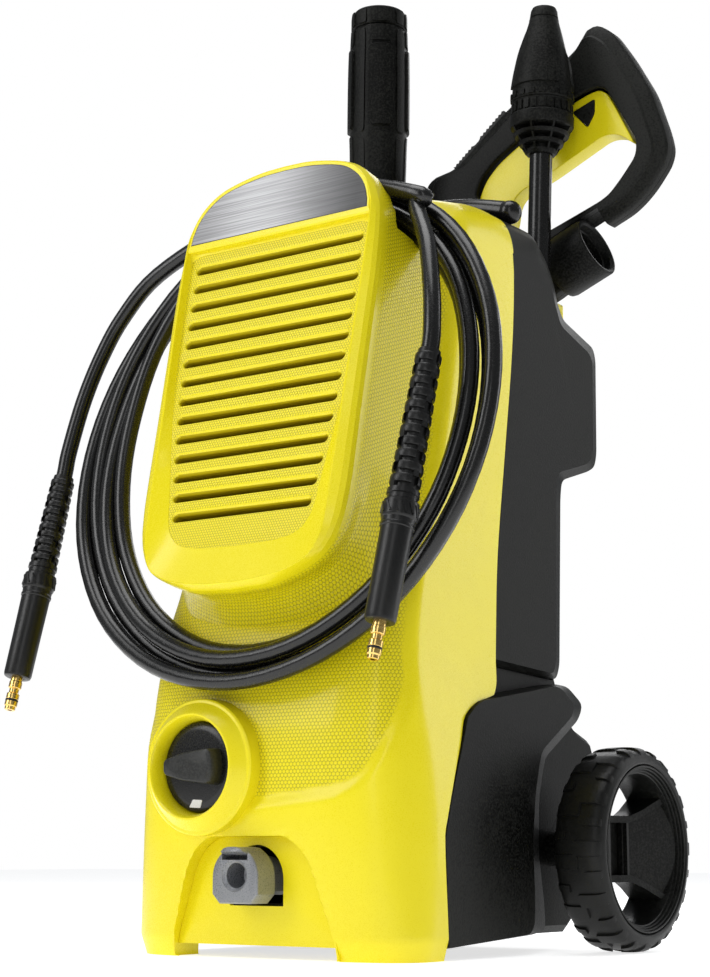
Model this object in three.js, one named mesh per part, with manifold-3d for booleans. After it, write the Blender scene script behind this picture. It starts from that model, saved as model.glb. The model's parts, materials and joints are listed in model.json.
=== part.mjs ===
// Electric pressure washer on two wheels, with its trigger gun, two lances and
// a high-pressure hose stowed on it.  Millimetres, +Z up, front towards -Y.
// Origin: on the ground, below the middle of the machine.
import * as THREE from 'three';
import Module from 'manifold-3d';
import { mergeVertices } from 'three/addons/utils/BufferGeometryUtils.js';

const wasm = await Module();
wasm.setup();

// ---------------------------------------------------------------- driving sizes
const gap = 0.3; // clearance between pieces that touch
const wall = 3; // moulded wall thickness

const bodyHalfWidth = 121.5; // upper body, half of the width
const baseFlare = 17.5; // how far each side flares out at the ground
const bodyTop = 604; // height of the shoulder behind the hood
const bodyCornerRadius = 35; // round at the top corners of the body

const hoodLean = THREE.MathUtils.degToRad(11.6);
const hoodFootY = -195.9; // panel plane at hoodFootZ, on the middle plane
const hoodFootZ = 302;
const hoodHeight = 345; // along the panel, above hoodFootZ
const hoodHalfWidth = 104; // at its widest
const neckMargin = 11.5; // from the body's side in to the foot of the neck
const hoodDepth = 150; // from the rim back, where the body trims it
const hoodLip = 22; // depth of the lip that the hose hangs behind
const saddleClearance = 0.9; // between the neck behind the lip and the coil
const bandLow = -22; // sloping band below the grille, along the panel
const bandHigh = 20;
const hoodRimWidth = 11;
const grilleRecess = 5;
const grilleThickness = 3;
const slotCount = 14;
const slotPitch = 17.15; // along the panel
const slotHeight = 6;
const firstSlot = 41; // middle of the lowest slot, along the panel
const plateFoot = 288; // lower edge of the name plate, along the panel

const wheelRadius = 82.5;
const tyreWidth = 48;
const tyreSection = 15; // radial depth of the tyre
const treadHeight = 3;
const treadCount = 12;
const wheelOuterX = 201;
const axleY = 94.7;
const axleRadius = 6;

const chassisHalfWidth = 112;
const chassisFloor = 14;
const sideCoverX = 131; // outer face of a side cover before its flare line
const sideCoverFace = 138.8; // outer face of a side cover

const knobX = -42;
const knobZ = 145;
const bezelRadius = 53;
const knobRadius = 35;

const outletZ = 62.5;
const outletHalfWidth = 22;
const outletHalfHeight = 21;
const outletFaceY = -181;
const outletDepth = 34;
const outletBore = 9.5;

const handleY = 53;
const handleTubeX = 70;
const handleTubeRadius = 8.5;
const handleTubeLength = 322;
const handleBarRadius = 9.5;
const handleBarHalf = 98;
const handleBarZ = 631; // height of the bar's ends
const handleArch = 15; // rise of the bar's middle over its ends

const lanceY = 134;
const dirtLanceLean = THREE.MathUtils.degToRad(2.5);
const varioLanceLean = THREE.MathUtils.degToRad(0.8);
const lanceTubeRadius = 10.5;
const lanceFloorZ = 425;
const dirtLanceX = 76.5; // at the lance floor
const varioLanceX = -98.5;

const gunY = 181;
const gunHalfThickness = 15.2;
const gunWall = 2.6;
const triggerHalfThickness = 9.5;
const triggerTravelDeg = 6;
const muzzleRadius = 29;
const muzzleBore = 21;
const muzzleLength = 45;

const hoseRadius = 7;
const coilCentre = [-4, -137.5, 418];
const coilRadius = 219;
const coilHole = 182;
const coilHoleRise = 8; // the turns lie closer together at the top
const coilThickness = 34;
const coilLean = THREE.MathUtils.degToRad(14);

const motorRadius = 52;
const motorFloor = 172;
const motorTop = 330;
const motorY = -28;
const motorBore = 45;
const rotorRadius = 27;
const pumpRadius = 46;
const shaftRadius = 6;
const inletX = -30; // water inlet on the rear wall
const inletZ = 112;
const inletCollar = 13;
const glandX = 62; // cable gland on the rear wall
const glandZ = 140;
const glandRadius = 9;
const chassisBackY = 170;

// ---------------------------------------------------------------- finishes
function finish(color, roughness, metalness = 0) {
  return { color, roughness, metalness };
}
const yellow = finish(0xf2e41c, 0.35);
const blackPlastic = finish(0x242522, 0.62);
const smoothBlack = finish(0x17181a, 0.4);
const rubber = finish(0x1c1d1b, 0.85);
const greyPlastic = finish(0x8f9193, 0.42);
const steel = finish(0x9a9c9e, 0.35, 0.9);
const aluminium = finish(0xb4b6b8, 0.4, 0.9);
const brass = finish(0xc9a04a, 0.3, 0.9);

// ---------------------------------------------------------------- solids
// Merge shared corners, drop slivers and turn the faces outwards.
function solid(geometry) {
  const bare = geometry.index ? geometry.toNonIndexed() : geometry.clone();
  bare.deleteAttribute('normal');
  bare.deleteAttribute('uv');
  const merged = mergeVertices(bare, 1e-4);
  const corners = merged.getAttribute('position');
  const index = merged.getIndex().array;
  const triangles = [];
  let volume = 0;
  const a = new THREE.Vector3();
  const b = new THREE.Vector3();
  const c = new THREE.Vector3();
  for (let i = 0; i < index.length; i += 3) {
    const [p, q, r] = [index[i], index[i + 1], index[i + 2]];
    if (p === q || q === r || r === p) continue;
    a.fromBufferAttribute(corners, p);
    b.fromBufferAttribute(corners, q);
    c.fromBufferAttribute(corners, r);
    volume += a.dot(b.cross(c));
    triangles.push(p, q, r);
  }
  if (volume < 0) triangles.reverse();
  const mesh = new wasm.Mesh({
    numProp: 3,
    vertProperties: Float32Array.from(corners.array),
    triVerts: Uint32Array.from(triangles),
  });
  return new wasm.Manifold(mesh);
}

function cut(body, ...tools) {
  return tools.reduce((rest, tool) => rest.subtract(tool), body);
}

function join(body, ...others) {
  return others.reduce((sum, other) => sum.add(other), body);
}

function geometryOf(body) {
  const mesh = body.getMesh();
  const geometry = new THREE.BufferGeometry();
  const corners = new Float32Array((mesh.vertProperties.length / mesh.numProp) * 3);
  for (let i = 0; i < corners.length / 3; i += 1) {
    for (let k = 0; k < 3; k += 1) corners[3 * i + k] = mesh.vertProperties[mesh.numProp * i + k];
  }
  geometry.setAttribute('position', new THREE.BufferAttribute(corners, 3));
  geometry.setIndex(Array.from(mesh.triVerts));
  geometry.computeVertexNormals();
  return geometry;
}

const machine = new THREE.Group();

function addPiece(name, body, look, place = null) {
  const material = new THREE.MeshStandardMaterial({ ...look, flatShading: true });
  const mesh = new THREE.Mesh(geometryOf(body), material);
  mesh.name = name;
  if (place) place(mesh);
  machine.add(mesh);
  return mesh;
}

// Skin over a stack of closed rings with equal point counts, capped at both ends.
// flat() gives the two coordinates that a cap is triangulated in.
function loft(rings, flat) {
  const count = rings[0].length;
  const points = [];
  const face = (p, q, r) => points.push(...p.toArray(), ...q.toArray(), ...r.toArray());
  for (let k = 0; k + 1 < rings.length; k += 1) {
    for (let i = 0; i < count; i += 1) {
      const j = (i + 1) % count;
      face(rings[k][i], rings[k][j], rings[k + 1][j]);
      face(rings[k][i], rings[k + 1][j], rings[k + 1][i]);
    }
  }
  const cap = (ring, outwards) => {
    const outline = ring.map(flat);
    for (const [p, q, r] of THREE.ShapeUtils.triangulateShape(outline, [])) {
      if (outwards) face(ring[p], ring[q], ring[r]);
      else face(ring[p], ring[r], ring[q]);
    }
  };
  const rising = !THREE.ShapeUtils.isClockWise(rings[0].map(flat));
  cap(rings[0], !rising);
  cap(rings[rings.length - 1], rising);
  const geometry = new THREE.BufferGeometry();
  geometry.setAttribute('position', new THREE.Float32BufferAttribute(points, 3));
  return solid(geometry);
}

function outlineShape(points, holes = []) {
  const shape = new THREE.Shape(points.map(([u, v]) => new THREE.Vector2(u, v)));
  for (const hole of holes) {
    shape.holes.push(new THREE.Path(hole.map(([u, v]) => new THREE.Vector2(u, v))));
  }
  return shape;
}

function extruded(shape, from, to, bevel = 0) {
  const geometry = new THREE.ExtrudeGeometry(shape, {
    depth: to - from - 2 * bevel,
    bevelEnabled: bevel > 0,
    bevelThickness: bevel,
    bevelSize: bevel,
    bevelOffset: -bevel,
    bevelSegments: 1,
    curveSegments: 10,
  });
  geometry.translate(0, 0, from + bevel);
  return geometry;
}

// Outline in (y, z), from x = from to x = to.
function acrossX(points, from, to, bevel = 0, holes = []) {
  const geometry = extruded(outlineShape(points, holes), from, to, bevel);
  const turn = new THREE.Matrix4().makeBasis(
    new THREE.Vector3(0, 1, 0),
    new THREE.Vector3(0, 0, 1),
    new THREE.Vector3(1, 0, 0),
  );
  geometry.applyMatrix4(turn);
  return solid(geometry);
}

// Outline in (x, z), from y = from to y = to.
function acrossY(points, from, to, bevel = 0, holes = []) {
  const geometry = extruded(outlineShape(points, holes), -to, -from, bevel);
  geometry.rotateX(Math.PI / 2);
  return solid(geometry);
}

// Outline in (x, y), from z = from to z = to.
function upwards(points, from, to, bevel = 0, holes = []) {
  return solid(extruded(outlineShape(points, holes), from, to, bevel));
}

// Solid of revolution: points are [radius, height] along the axis from the origin.
function revolved(points, origin, axis, sides = 32) {
  const profile = points.map(([r, h]) => new THREE.Vector2(r, h));
  const geometry = new THREE.LatheGeometry(profile, sides);
  const up = new THREE.Vector3(0, 1, 0);
  const along = new THREE.Vector3(...axis).normalize();
  geometry.applyQuaternion(new THREE.Quaternion().setFromUnitVectors(up, along));
  geometry.translate(...origin);
  return solid(geometry);
}

function rod(radius, from, to, sides = 16) {
  const start = new THREE.Vector3(...from);
  const along = new THREE.Vector3(...to).sub(start);
  const length = along.length();
  return revolved([[0, 0], [radius, 0], [radius, length], [0, length]], from, along.toArray(), sides);
}

function ring(inner, outer, from, to, sides = 16) {
  const start = new THREE.Vector3(...from);
  const along = new THREE.Vector3(...to).sub(start);
  const length = along.length();
  const section = [[inner, 0], [outer, 0], [outer, length], [inner, length], [inner, 0]];
  return revolved(section, from, along.toArray(), sides);
}

function block(low, high) {
  const size = high.map((value, i) => value - low[i]);
  const geometry = new THREE.BoxGeometry(...size);
  geometry.translate(...low.map((value, i) => value + size[i] / 2));
  return solid(geometry);
}

function tube(points, radius, sides, steps) {
  const path = new THREE.CatmullRomCurve3(points.map((p) => new THREE.Vector3(...p)), false, 'centripetal');
  const section = new THREE.Shape();
  for (let i = 0; i < sides; i += 1) {
    const angle = (2 * Math.PI * i) / sides;
    const [u, v] = [radius * Math.cos(angle), radius * Math.sin(angle)];
    if (i === 0) section.moveTo(u, v);
    else section.lineTo(u, v);
  }
  return solid(new THREE.ExtrudeGeometry(section, { steps, extrudePath: path, bevelEnabled: false }));
}

// Move every corner of a closed outline outwards by a distance (negative: inwards).
function offsetOutline(points, distance) {
  const turn = THREE.ShapeUtils.isClockWise(points.map(([u, v]) => new THREE.Vector2(u, v))) ? -1 : 1;
  return points.map((point, i) => {
    const before = points[(i + points.length - 1) % points.length];
    const after = points[(i + 1) % points.length];
    const first = new THREE.Vector2(point[1] - before[1], before[0] - point[0]).normalize();
    const second = new THREE.Vector2(after[1] - point[1], point[0] - after[0]).normalize();
    const miter = first.clone().add(second);
    const scale = (2 * turn * distance) / Math.max(miter.lengthSq(), 1);
    return [point[0] + miter.x * scale, point[1] + miter.y * scale];
  });
}

// Piecewise straight line through [place, value] pairs.
function along(pairs, place) {
  if (place <= pairs[0][0]) return pairs[0][1];
  for (let i = 1; i < pairs.length; i += 1) {
    const [start, from] = pairs[i - 1];
    const [end, to] = pairs[i];
    if (place <= end) return from + ((to - from) * (place - start)) / (end - start);
  }
  return pairs[pairs.length - 1][1];
}

function roundDrop(over, radius) {
  if (over <= 0) return 0;
  return radius - Math.sqrt(Math.max(radius * radius - Math.min(over, radius) ** 2, 0));
}

// ---------------------------------------------------------------- body form
const flareProfile = [[0, 1], [60, 0.96], [120, 0.84], [196, 0.5], [233, 0.26], [280, 0.09], [330, 0]];
const frontProfile = [
  [0, -167], [16, -170], [60, -174], [145, -176], [175, -174], [205, -169.5], [235, -163.5],
  [262, -156], [300, -138], [330, -128], [450, -103], [560, -80], [590, -70], [604, -52],
];
const cornerProfile = [
  [0, -130], [60, -128], [110, -118], [160, -104], [205, -82], [260, -62], [330, -58],
  [450, -46], [560, -34], [590, -26], [604, -12],
];
const frontPower = [[0, 4.2], [110, 4.2], [160, 3.4], [205, 2.5], [330, 2.8], [604, 2.8]];
const partingLine = [
  [-106, -20], [-106, 5], [-108, 90], [-102, 109], [-92, 133], [-78, 164], [-70, 183], [-58, 192],
  [-47, 197], [-24, 203], [-15, 233], [-3.6, 314.6], [11.2, 408.7], [24.6, 497], [29.4, 559],
  [27, 585], [20, 610], [20, 640],
];

function halfWidth(z, inset) {
  const cornerStart = bodyTop - bodyCornerRadius;
  const inner = Math.max(bodyCornerRadius - inset, 1);
  return bodyHalfWidth + baseFlare * along(flareProfile, z) - inset - roundDrop(z - cornerStart, inner);
}

function bodyRing(z, inset, count = 14) {
  const half = halfWidth(z, inset);
  const front = along(frontProfile, z) + inset;
  const corner = along(cornerProfile, z) + inset;
  const power = along(frontPower, z);
  const points = [];
  for (let i = 0; i <= count; i += 1) {
    const across = Math.sin(((i / count) * 2 - 1) * (Math.PI / 2));
    points.push(new THREE.Vector3(half * across, front + (corner - front) * Math.abs(across) ** power, z));
  }
  points.push(new THREE.Vector3(half, 70, z), new THREE.Vector3(-half, 70, z));
  return points;
}

function bodyForm(from, to, inset) {
  const cornerStart = bodyTop - bodyCornerRadius;
  const steps = [16, 60, 110, 145, 175, 205, 235, 262, 300, 330, 390, 450, 510, 540];
  const topSteps = [0, 12, 22, 29, 33.5].map((rise) => cornerStart + rise);
  const levels = [from, ...[...steps, ...topSteps].filter((z) => z > from + 1 && z < to - 0.6), to];
  return loft(levels.map((z) => bodyRing(z, inset)), (p) => new THREE.Vector2(p.x, p.y));
}

// Region in front of the parting line between the yellow front and the black rear.
function frontRegion(clearance) {
  const edge = partingLine.map(([y, z]) => [y - clearance, z]);
  return acrossX([[-300, -20], ...edge, [20, 700], [-300, 700]], -200, 200);
}

// ---------------------------------------------------------------- hood form
const panelUp = new THREE.Vector3(0, Math.sin(hoodLean), Math.cos(hoodLean));
const panelBack = new THREE.Vector3(0, Math.cos(hoodLean), -Math.sin(hoodLean));
function onPanel(x, up, back) {
  return new THREE.Vector3(x, hoodFootY, hoodFootZ)
    .addScaledVector(panelUp, up)
    .addScaledVector(panelBack, back);
}

const hoodRight = [
  [0, -40], [34, -38], [60, -31], [79, -17], [90, 0], [96, 30], [99, 60], [102, 120],
  [hoodHalfWidth, 190], [hoodHalfWidth, 243], [102, 285], [97, 303], [86, 320], [70, 333], [48, 341.5], [20, hoodHeight],
];
const hoodLeft = [...hoodRight].reverse().map(([x, up]) => [-x, up]).slice(0, -1);
const hoodOutline = [...hoodRight, ...hoodLeft];

function hoodSolid(grow, from, to, fan = 0) {
  const ringAt = (back, spread) => offsetOutline(hoodOutline, spread).map(([x, up]) => onPanel(x, up, back));
  const rings = [ringAt(from, grow), ringAt(to, grow + fan)];
  return loft(rings, (p) => new THREE.Vector2(p.x, p.z));
}

function panelPrism(points, from, to) {
  const ringAt = (back) => points.map(([x, up]) => onPanel(x, up, back));
  return loft([ringAt(from), ringAt(to)], (p) => new THREE.Vector2(p.x, p.z));
}

// Coil envelope: a flat ring whose hole sits a little high, where the turns
// lie together over the saddle behind the hood.
function coilForm(spare) {
  const shape = new THREE.Shape();
  shape.absarc(0, 0, coilRadius + spare, 0, 2 * Math.PI);
  const hole = new THREE.Path();
  hole.absarc(0, coilHoleRise, coilHole - spare, 0, 2 * Math.PI);
  shape.holes.push(hole);
  const bevel = 8;
  const geometry = new THREE.ExtrudeGeometry(shape, {
    depth: coilThickness - 2 * bevel + 2 * spare,
    bevelEnabled: true,
    bevelThickness: bevel,
    bevelSize: bevel,
    bevelOffset: -bevel,
    bevelSegments: 1,
    curveSegments: 20,
  });
  geometry.translate(0, 0, bevel - coilThickness / 2 - spare);
  geometry.rotateX(Math.PI / 2 - coilLean);
  geometry.translate(...coilCentre);
  return solid(geometry);
}

// ---------------------------------------------------------------- front cover
const coil = coilForm(0);
const coilRoom = coilForm(1.2);
const bodyOuter = bodyForm(0, bodyTop, 0);
const bodyRoom = bodyForm(-1, bodyTop + gap, -gap);

const archFaceY = -168; // front of the body beside the arch
const footInnerX = 79;
const soleBackY = -112;
const soleThickness = 5;
const archTop = 96;
const archHalfTop = 47;
const archDepth = 13;

function archOutline(grow) {
  const half = archHalfTop + grow;
  const top = archTop + grow;
  return [
    [-footInnerX - grow, -5], [-footInnerX + 1 - grow, 16], [-half - 9, top - 22], [-half, top - 9],
    [-half + 14, top], [half - 14, top], [half, top - 9], [half + 9, top - 22],
    [footInnerX - 1 + grow, 16], [footInnerX + grow, -5],
  ];
}

function frontCover() {
  let shell = cut(bodyOuter, bodyForm(-1, bodyTop - wall, wall));
  // closed soles under the two front feet
  const soles = cut(
    bodyOuter.intersect(block([-200, -260, -1], [200, soleBackY, soleThickness])),
    block([-footInnerX, -260, -2], [footInnerX, 0, 20]),
  );
  shell = join(shell, soles);
  // arched recess between the feet, with its own inner skin
  const recess = acrossY(archOutline(0), -240, archFaceY + archDepth);
  const liner = cut(
    acrossY(archOutline(wall), -185, archFaceY + archDepth + wall),
    block([-120, -260, -10], [120, -100, 17]),
  );
  shell = cut(join(shell, liner.intersect(bodyOuter)), recess);
  // opening for the coupling: round top, flat foot
  const mouth = [[-27, outletZ - 23]];
  for (let i = 0; i <= 8; i += 1) {
    const angle = Math.PI - (Math.PI * i) / 8;
    mouth.push([27 * Math.cos(angle), outletZ - 4 + 27 * Math.sin(angle)]);
  }
  mouth.push([27, outletZ - 23]);
  shell = cut(shell, acrossY(mouth, -230, -100));
  // seat of the dial and the air opening behind the hood
  const knobHole = rod(bezelRadius - 9, [knobX, -230, knobZ], [knobX, -120, knobZ], 28);
  const airway = panelPrism(offsetOutline(hoodOutline, -16), 20, 140);
  const airRegion = cut(airway, block([-200, -260, 560], [200, 100, 700]));
  shell = cut(shell, knobHole, airRegion, coilRoom);
  return shell.intersect(frontRegion(0));
}

const frontShell = frontCover();
addPiece('front_cover', frontShell, yellow);

// Everything between two heights along the panel and two depths behind it.
function panelSlab(low, high, from, to) {
  return panelPrism([[-200, low], [200, low], [200, high], [-200, high]], from, to);
}

// Room inside the coil: the neck behind the lip is rounded to it.
function coilCore(inset) {
  const radius = coilHole - saddleClearance - inset;
  const geometry = new THREE.CylinderGeometry(radius, radius, 320, 48);
  geometry.translate(0, 0, coilHoleRise);
  geometry.rotateX(-coilLean);
  geometry.translate(...coilCentre);
  return solid(geometry);
}

function hoodForm(inset, from) {
  const lip = hoodSolid(-inset, from, hoodLip - inset);
  const fan = bodyHalfWidth - neckMargin - hoodHalfWidth;
  const neck = hoodSolid(-inset, from, hoodDepth + from, fan);
  return join(lip, neck.intersect(coilCore(inset)));
}

function hoodShell() {
  const opening = hoodSolid(-hoodRimWidth, -1, 12).intersect(panelSlab(bandHigh, 400, -2, 13));
  const wedge = loft(
    [-150, 150].map((x) => [
      onPanel(x, bandLow, -0.5), onPanel(x, bandHigh + 1, grilleRecess), onPanel(x, bandHigh + 1, -0.5),
    ]),
    (p) => new THREE.Vector2(p.y, p.z),
  );
  const band = wedge.intersect(hoodSolid(-hoodRimWidth, -2, 12));
  return cut(hoodForm(0, 0), hoodForm(wall, 9), opening, band, bodyRoom);
}

addPiece('hood', hoodShell(), yellow);

// Flat piece inside the rim, between two heights along the panel.
function insidePanel(low, high, from, to) {
  const whole = panelPrism(offsetOutline(hoodOutline, -hoodRimWidth - gap), from, to);
  const band = panelPrism([[-150, low], [150, low], [150, high], [-150, high]], from - 1, to + 1);
  return whole.intersect(band);
}

function grille() {
  const panel = insidePanel(bandHigh + gap, plateFoot - gap, grilleRecess, grilleRecess + grilleThickness);
  const slots = [];
  for (let i = 0; i < slotCount; i += 1) {
    const up = firstSlot + slotPitch * i;
    const half = along([[firstSlot, 70], [95, 78.5], [150, 83.5], [215, 85.5], [265, 84]], up);
    const end = slotHeight / 2;
    const outline = [
      [-half, up - end], [half, up - end], [half + end, up], [half, up + end], [-half, up + end],
      [-half - end, up],
    ];
    slots.push(panelPrism(outline, 0, 20));
  }
  return cut(panel, ...slots);
}

addPiece('grille_panel', grille(), yellow);
addPiece('name_plate', insidePanel(plateFoot, 400, 1.5, 4.5), steel);

// ---------------------------------------------------------------- dial
const bezelBackY = -160;

function bezel() {
  const outer = revolved(
    [[0, 0], [bezelRadius, 0], [bezelRadius, 21], [bezelRadius - 4, 24], [knobRadius + 6, 33], [0, 33]],
    [knobX, bezelBackY - 2, knobZ], [0, -1, 0], 28,
  );
  const bore = revolved(
    [
      [0, -1], [12, -1], [12, 10], [knobRadius + 1.2, 10], [knobRadius + 1.2, 26], [knobRadius + 4, 34], [0, 34],
    ],
    [knobX, bezelBackY - 2, knobZ], [0, -1, 0], 28,
  );
  return cut(outer, bore, bodyForm(-1, bodyTop, -gap).intersect(cut(
    rod(bezelRadius + 10, [knobX, -230, knobZ], [knobX, -100, knobZ], 28),
    rod(bezelRadius - 9 - gap, [knobX, -231, knobZ], [knobX, -99, knobZ], 28),
  )));
}

addPiece('dial_bezel', bezel(), yellow);

function powerKnob() {
  const base = bezelBackY - 2 - 10 - gap;
  const disc = revolved(
    [[0, 0], [knobRadius, 0], [knobRadius, 9], [knobRadius - 3, 12], [0, 12]],
    [knobX, base, knobZ], [0, -1, 0], 28,
  );
  const stem = rod(7, [knobX, base + 16, knobZ], [knobX, base - 2, knobZ], 20);
  const [tip, heel] = [-knobRadius + 1, knobRadius - 6];
  const grip = [[tip, -6], [tip, 6], [-8, 12], [heel, 15], [heel, -15], [-8, -12]];
  const wedge = acrossY(grip.map(([x, z]) => [knobX + x, knobZ + z]), base - 28, base - 6, 2);
  return join(disc, stem, wedge);
}

addPiece('power_knob', powerKnob(), blackPlastic);

function switchBlock() {
  const box = block([knobX - 22, bezelBackY + 4.3, knobZ - 20], [knobX + 22, -118, knobZ + 20]);
  return cut(box, rod(7 + gap, [knobX, -170, knobZ], [knobX, -130, knobZ], 20));
}

addPiece('switch_block', switchBlock(), blackPlastic);

// ---------------------------------------------------------------- rear cover
const rearOuter = [
  [-60, 232], [97, 224], [103, 236], [110, 383], [113, 399], [160, 414], [172, 420], [176, 432],
  [178, 520], [174, 530], [120, 545], [109, 561], [103, 582], [94, 596], [73, bodyTop], [-60, bodyTop],
];
const rearInner = [
  [-60, 236], [84, 228], [89, 238], [94, 386], [98, 403], [148, 418], [157, 424], [161, 436],
  [163, 514], [158, 521], [108, 536], [96, 556], [90, 576], [84, 590], [68, bodyTop], [-60, bodyTop],
];

function rearForm(inset) {
  const side = bodyHalfWidth - inset;
  const flat = bodyHalfWidth - bodyCornerRadius;
  const places = [side, side - 5.5, 116 - inset, 109, 100, flat];
  const levels = [...places.map((x) => -x), ...places.reverse()];
  const top = bodyTop - inset;
  const rings = levels.map((x) => {
    const face = Math.abs(x) > side - 1 ? rearInner : rearOuter;
    const drop = roundDrop(Math.abs(x) - flat, bodyCornerRadius - inset);
    const outline = offsetOutline(face, -inset);
    return outline.map(([y, z]) => new THREE.Vector3(x, y, Math.min(z, top - drop)));
  });
  return loft(rings, (p) => new THREE.Vector2(p.y, p.z));
}

const dirtLance = { floorX: dirtLanceX, lean: dirtLanceLean };
const varioLance = { floorX: varioLanceX, lean: varioLanceLean };

function lanceAxis(lance, rise) {
  return [lance.floorX + rise * Math.tan(lance.lean), lanceY, lanceFloorZ + rise];
}

function rearCover() {
  const handleHoles = [-1, 1].map((side) =>
    rod(handleTubeRadius + 4 + gap, [side * handleTubeX, handleY, 560], [side * handleTubeX, handleY, 640]));
  const lanceHoles = [dirtLance, varioLance].map((lance) =>
    rod(lanceTubeRadius + gap, lanceAxis(lance, 40), lanceAxis(lance, 180)));
  const motorWay = block([-90, -60, 215], [90, 78, 245]);
  const region = acrossX(
    [...partingLine.map(([y, z]) => [y, z]), [20, 700], [300, 700], [300, -20]], -200, 200,
  );
  const shell = cut(rearForm(0), rearForm(wall), ...handleHoles, ...lanceHoles, motorWay);
  return shell.intersect(region.translate(0, gap, 0));
}

addPiece('rear_cover', rearCover(), blackPlastic);

// ---------------------------------------------------------------- chassis and side covers
const sideOutline = [
  [-110, 8], [-110, 90], [-104, 112], [-94, 136], [-80, 166], [-71, 186], [-59, 194], [-47, 199],
  [80, 219], [102, 218], [126, 204], [117, 191], [58, 157], [52, 144], [44, 122], [40, 80], [47, 37],
  [48, 18], [28, 15],
];
const sideFace = [
  [-110, 9], [-110, 90], [-104, 112], [-94, 136], [-80, 165], [-71, 184], [-59, 192], [-47, 197],
  [70, 216], [80, 214], [98, 202], [93, 192], [40, 161], [34, 148], [26, 125], [19, 88], [20, 40],
  [18, 22], [12, 16],
];

function sideCover(side) {
  const tuck = [[0, 0], [60, 0.04], [120, 0.2], [196, 0.6], [220, 0.75]];
  const lean = (x, z) => x - baseFlare * 0.5 * along(tuck, z);
  const ringAt = (outline, x, inset) => offsetOutline(outline, -inset).map(([y, z]) =>
    new THREE.Vector3(side * lean(x, z), y, z));
  const inboard = chassisHalfWidth + gap + 6;
  const outer = loft(
    [ringAt(sideOutline, inboard, 0), ringAt(sideOutline, sideCoverX, 0), ringAt(sideFace, sideCoverFace, 0)],
    (p) => new THREE.Vector2(p.y, p.z),
  );
  const hollow = loft(
    [ringAt(sideOutline, inboard - 20, wall), ringAt(sideOutline, sideCoverX - wall, wall),
      ringAt(sideFace, sideCoverFace - wall, wall)],
    (p) => new THREE.Vector2(p.y, p.z),
  );
  const inner = block([-chassisHalfWidth - gap, -300, -10], [chassisHalfWidth + gap, 300, 400]);
  return cut(outer, hollow, inner, frontRegion(-gap), rearForm(-gap));
}

addPiece('side_cover_right', sideCover(1), blackPlastic);
addPiece('side_cover_left', sideCover(-1), blackPlastic);

const chassisOutline = [
  [-96, chassisFloor], [118, chassisFloor], [134, 26], [150, 60], [chassisBackY, 108],
  [chassisBackY, 166], [165, 176], [142, 184], [118, 200], [100, 240], [-10, 240], [-52, 190],
  [-88, 150], [-96, 100],
];

function chassis() {
  const half = chassisHalfWidth;
  const outer = acrossX(chassisOutline, -half, half, 6);
  const inner = acrossX(offsetOutline(chassisOutline, -wall), -half + wall, half - wall, 4);
  const top = block([-half + 12, -100, 150], [half - 12, 92, 260]);
  const front = block([-60, -140, 32], [60, -80, 110]);
  const bearing = (side) => rod(14, [side * (half - 8), axleY, wheelRadius], [side * 148, axleY, wheelRadius]);
  const axleTube = rod(axleRadius + 4, [-half, axleY, wheelRadius], [half, axleY, wheelRadius]);
  const axleHole = rod(axleRadius + gap, [-210, axleY, wheelRadius], [210, axleY, wheelRadius]);
  const shelf = block([-half + 1, -70, motorFloor - 14], [half - 1, 60, motorFloor - gap]);
  const motorHole = rod(40, [0, motorY, 140], [0, motorY, 190], 32);
  const inletHole = rod(inletCollar + gap, [inletX, 130, inletZ], [inletX, 200, inletZ]);
  const glandHole = rod(glandRadius + gap, [glandX, 130, glandZ], [glandX, 200, glandZ]);
  const shell = join(cut(outer, inner, top, front), cut(shelf.intersect(outer), motorHole));
  const whole = join(shell, axleTube, bearing(1), bearing(-1));
  return cut(whole, axleHole, inletHole, glandHole, frontRegion(-gap), rearForm(-gap));
}

addPiece('chassis', chassis(), blackPlastic);

// ---------------------------------------------------------------- wheels
const wheelInnerX = wheelOuterX - tyreWidth;
const tyreInnerRadius = wheelRadius - tyreSection;
const hubRadius = 17;

addPiece('axle', rod(axleRadius, [-192, axleY, wheelRadius], [192, axleY, wheelRadius]), steel);

function onWheel(side, inboard) {
  return side * (wheelOuterX - inboard);
}

function tyre(side) {
  const crown = wheelRadius - treadHeight;
  const origin = [onWheel(side, 0), axleY, wheelRadius];
  const section = [
    [tyreInnerRadius + gap, 3], [tyreInnerRadius + 3, 0], [crown - 5, 1], [crown - 1, 5], [crown, 12],
    [crown, tyreWidth - 12], [crown - 1, tyreWidth - 5], [crown - 5, tyreWidth - 1],
    [tyreInnerRadius + 3, tyreWidth], [tyreInnerRadius + gap, tyreWidth - 3], [tyreInnerRadius + gap, 3],
  ];
  const lugs = [];
  for (let i = 0; i < treadCount; i += 1) {
    const angle = (2 * Math.PI * i) / treadCount;
    const lug = block([3, -6.5, crown - 4], [19, 6.5, wheelRadius]);
    const opposite = block([tyreWidth - 19, -6.5, crown - 4], [tyreWidth - 3, 6.5, wheelRadius]);
    const degrees = THREE.MathUtils.radToDeg(angle);
    lugs.push(lug.rotate([degrees, 0, 0]), opposite.rotate([degrees + 180 / treadCount, 0, 0]));
  }
  const form = revolved(section, [0, 0, 0], [1, 0, 0], 24);
  const whole = join(form, ...lugs);
  const facing = side > 0 ? whole.rotate([0, 180, 0]) : whole;
  return facing.translate(origin);
}

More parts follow.
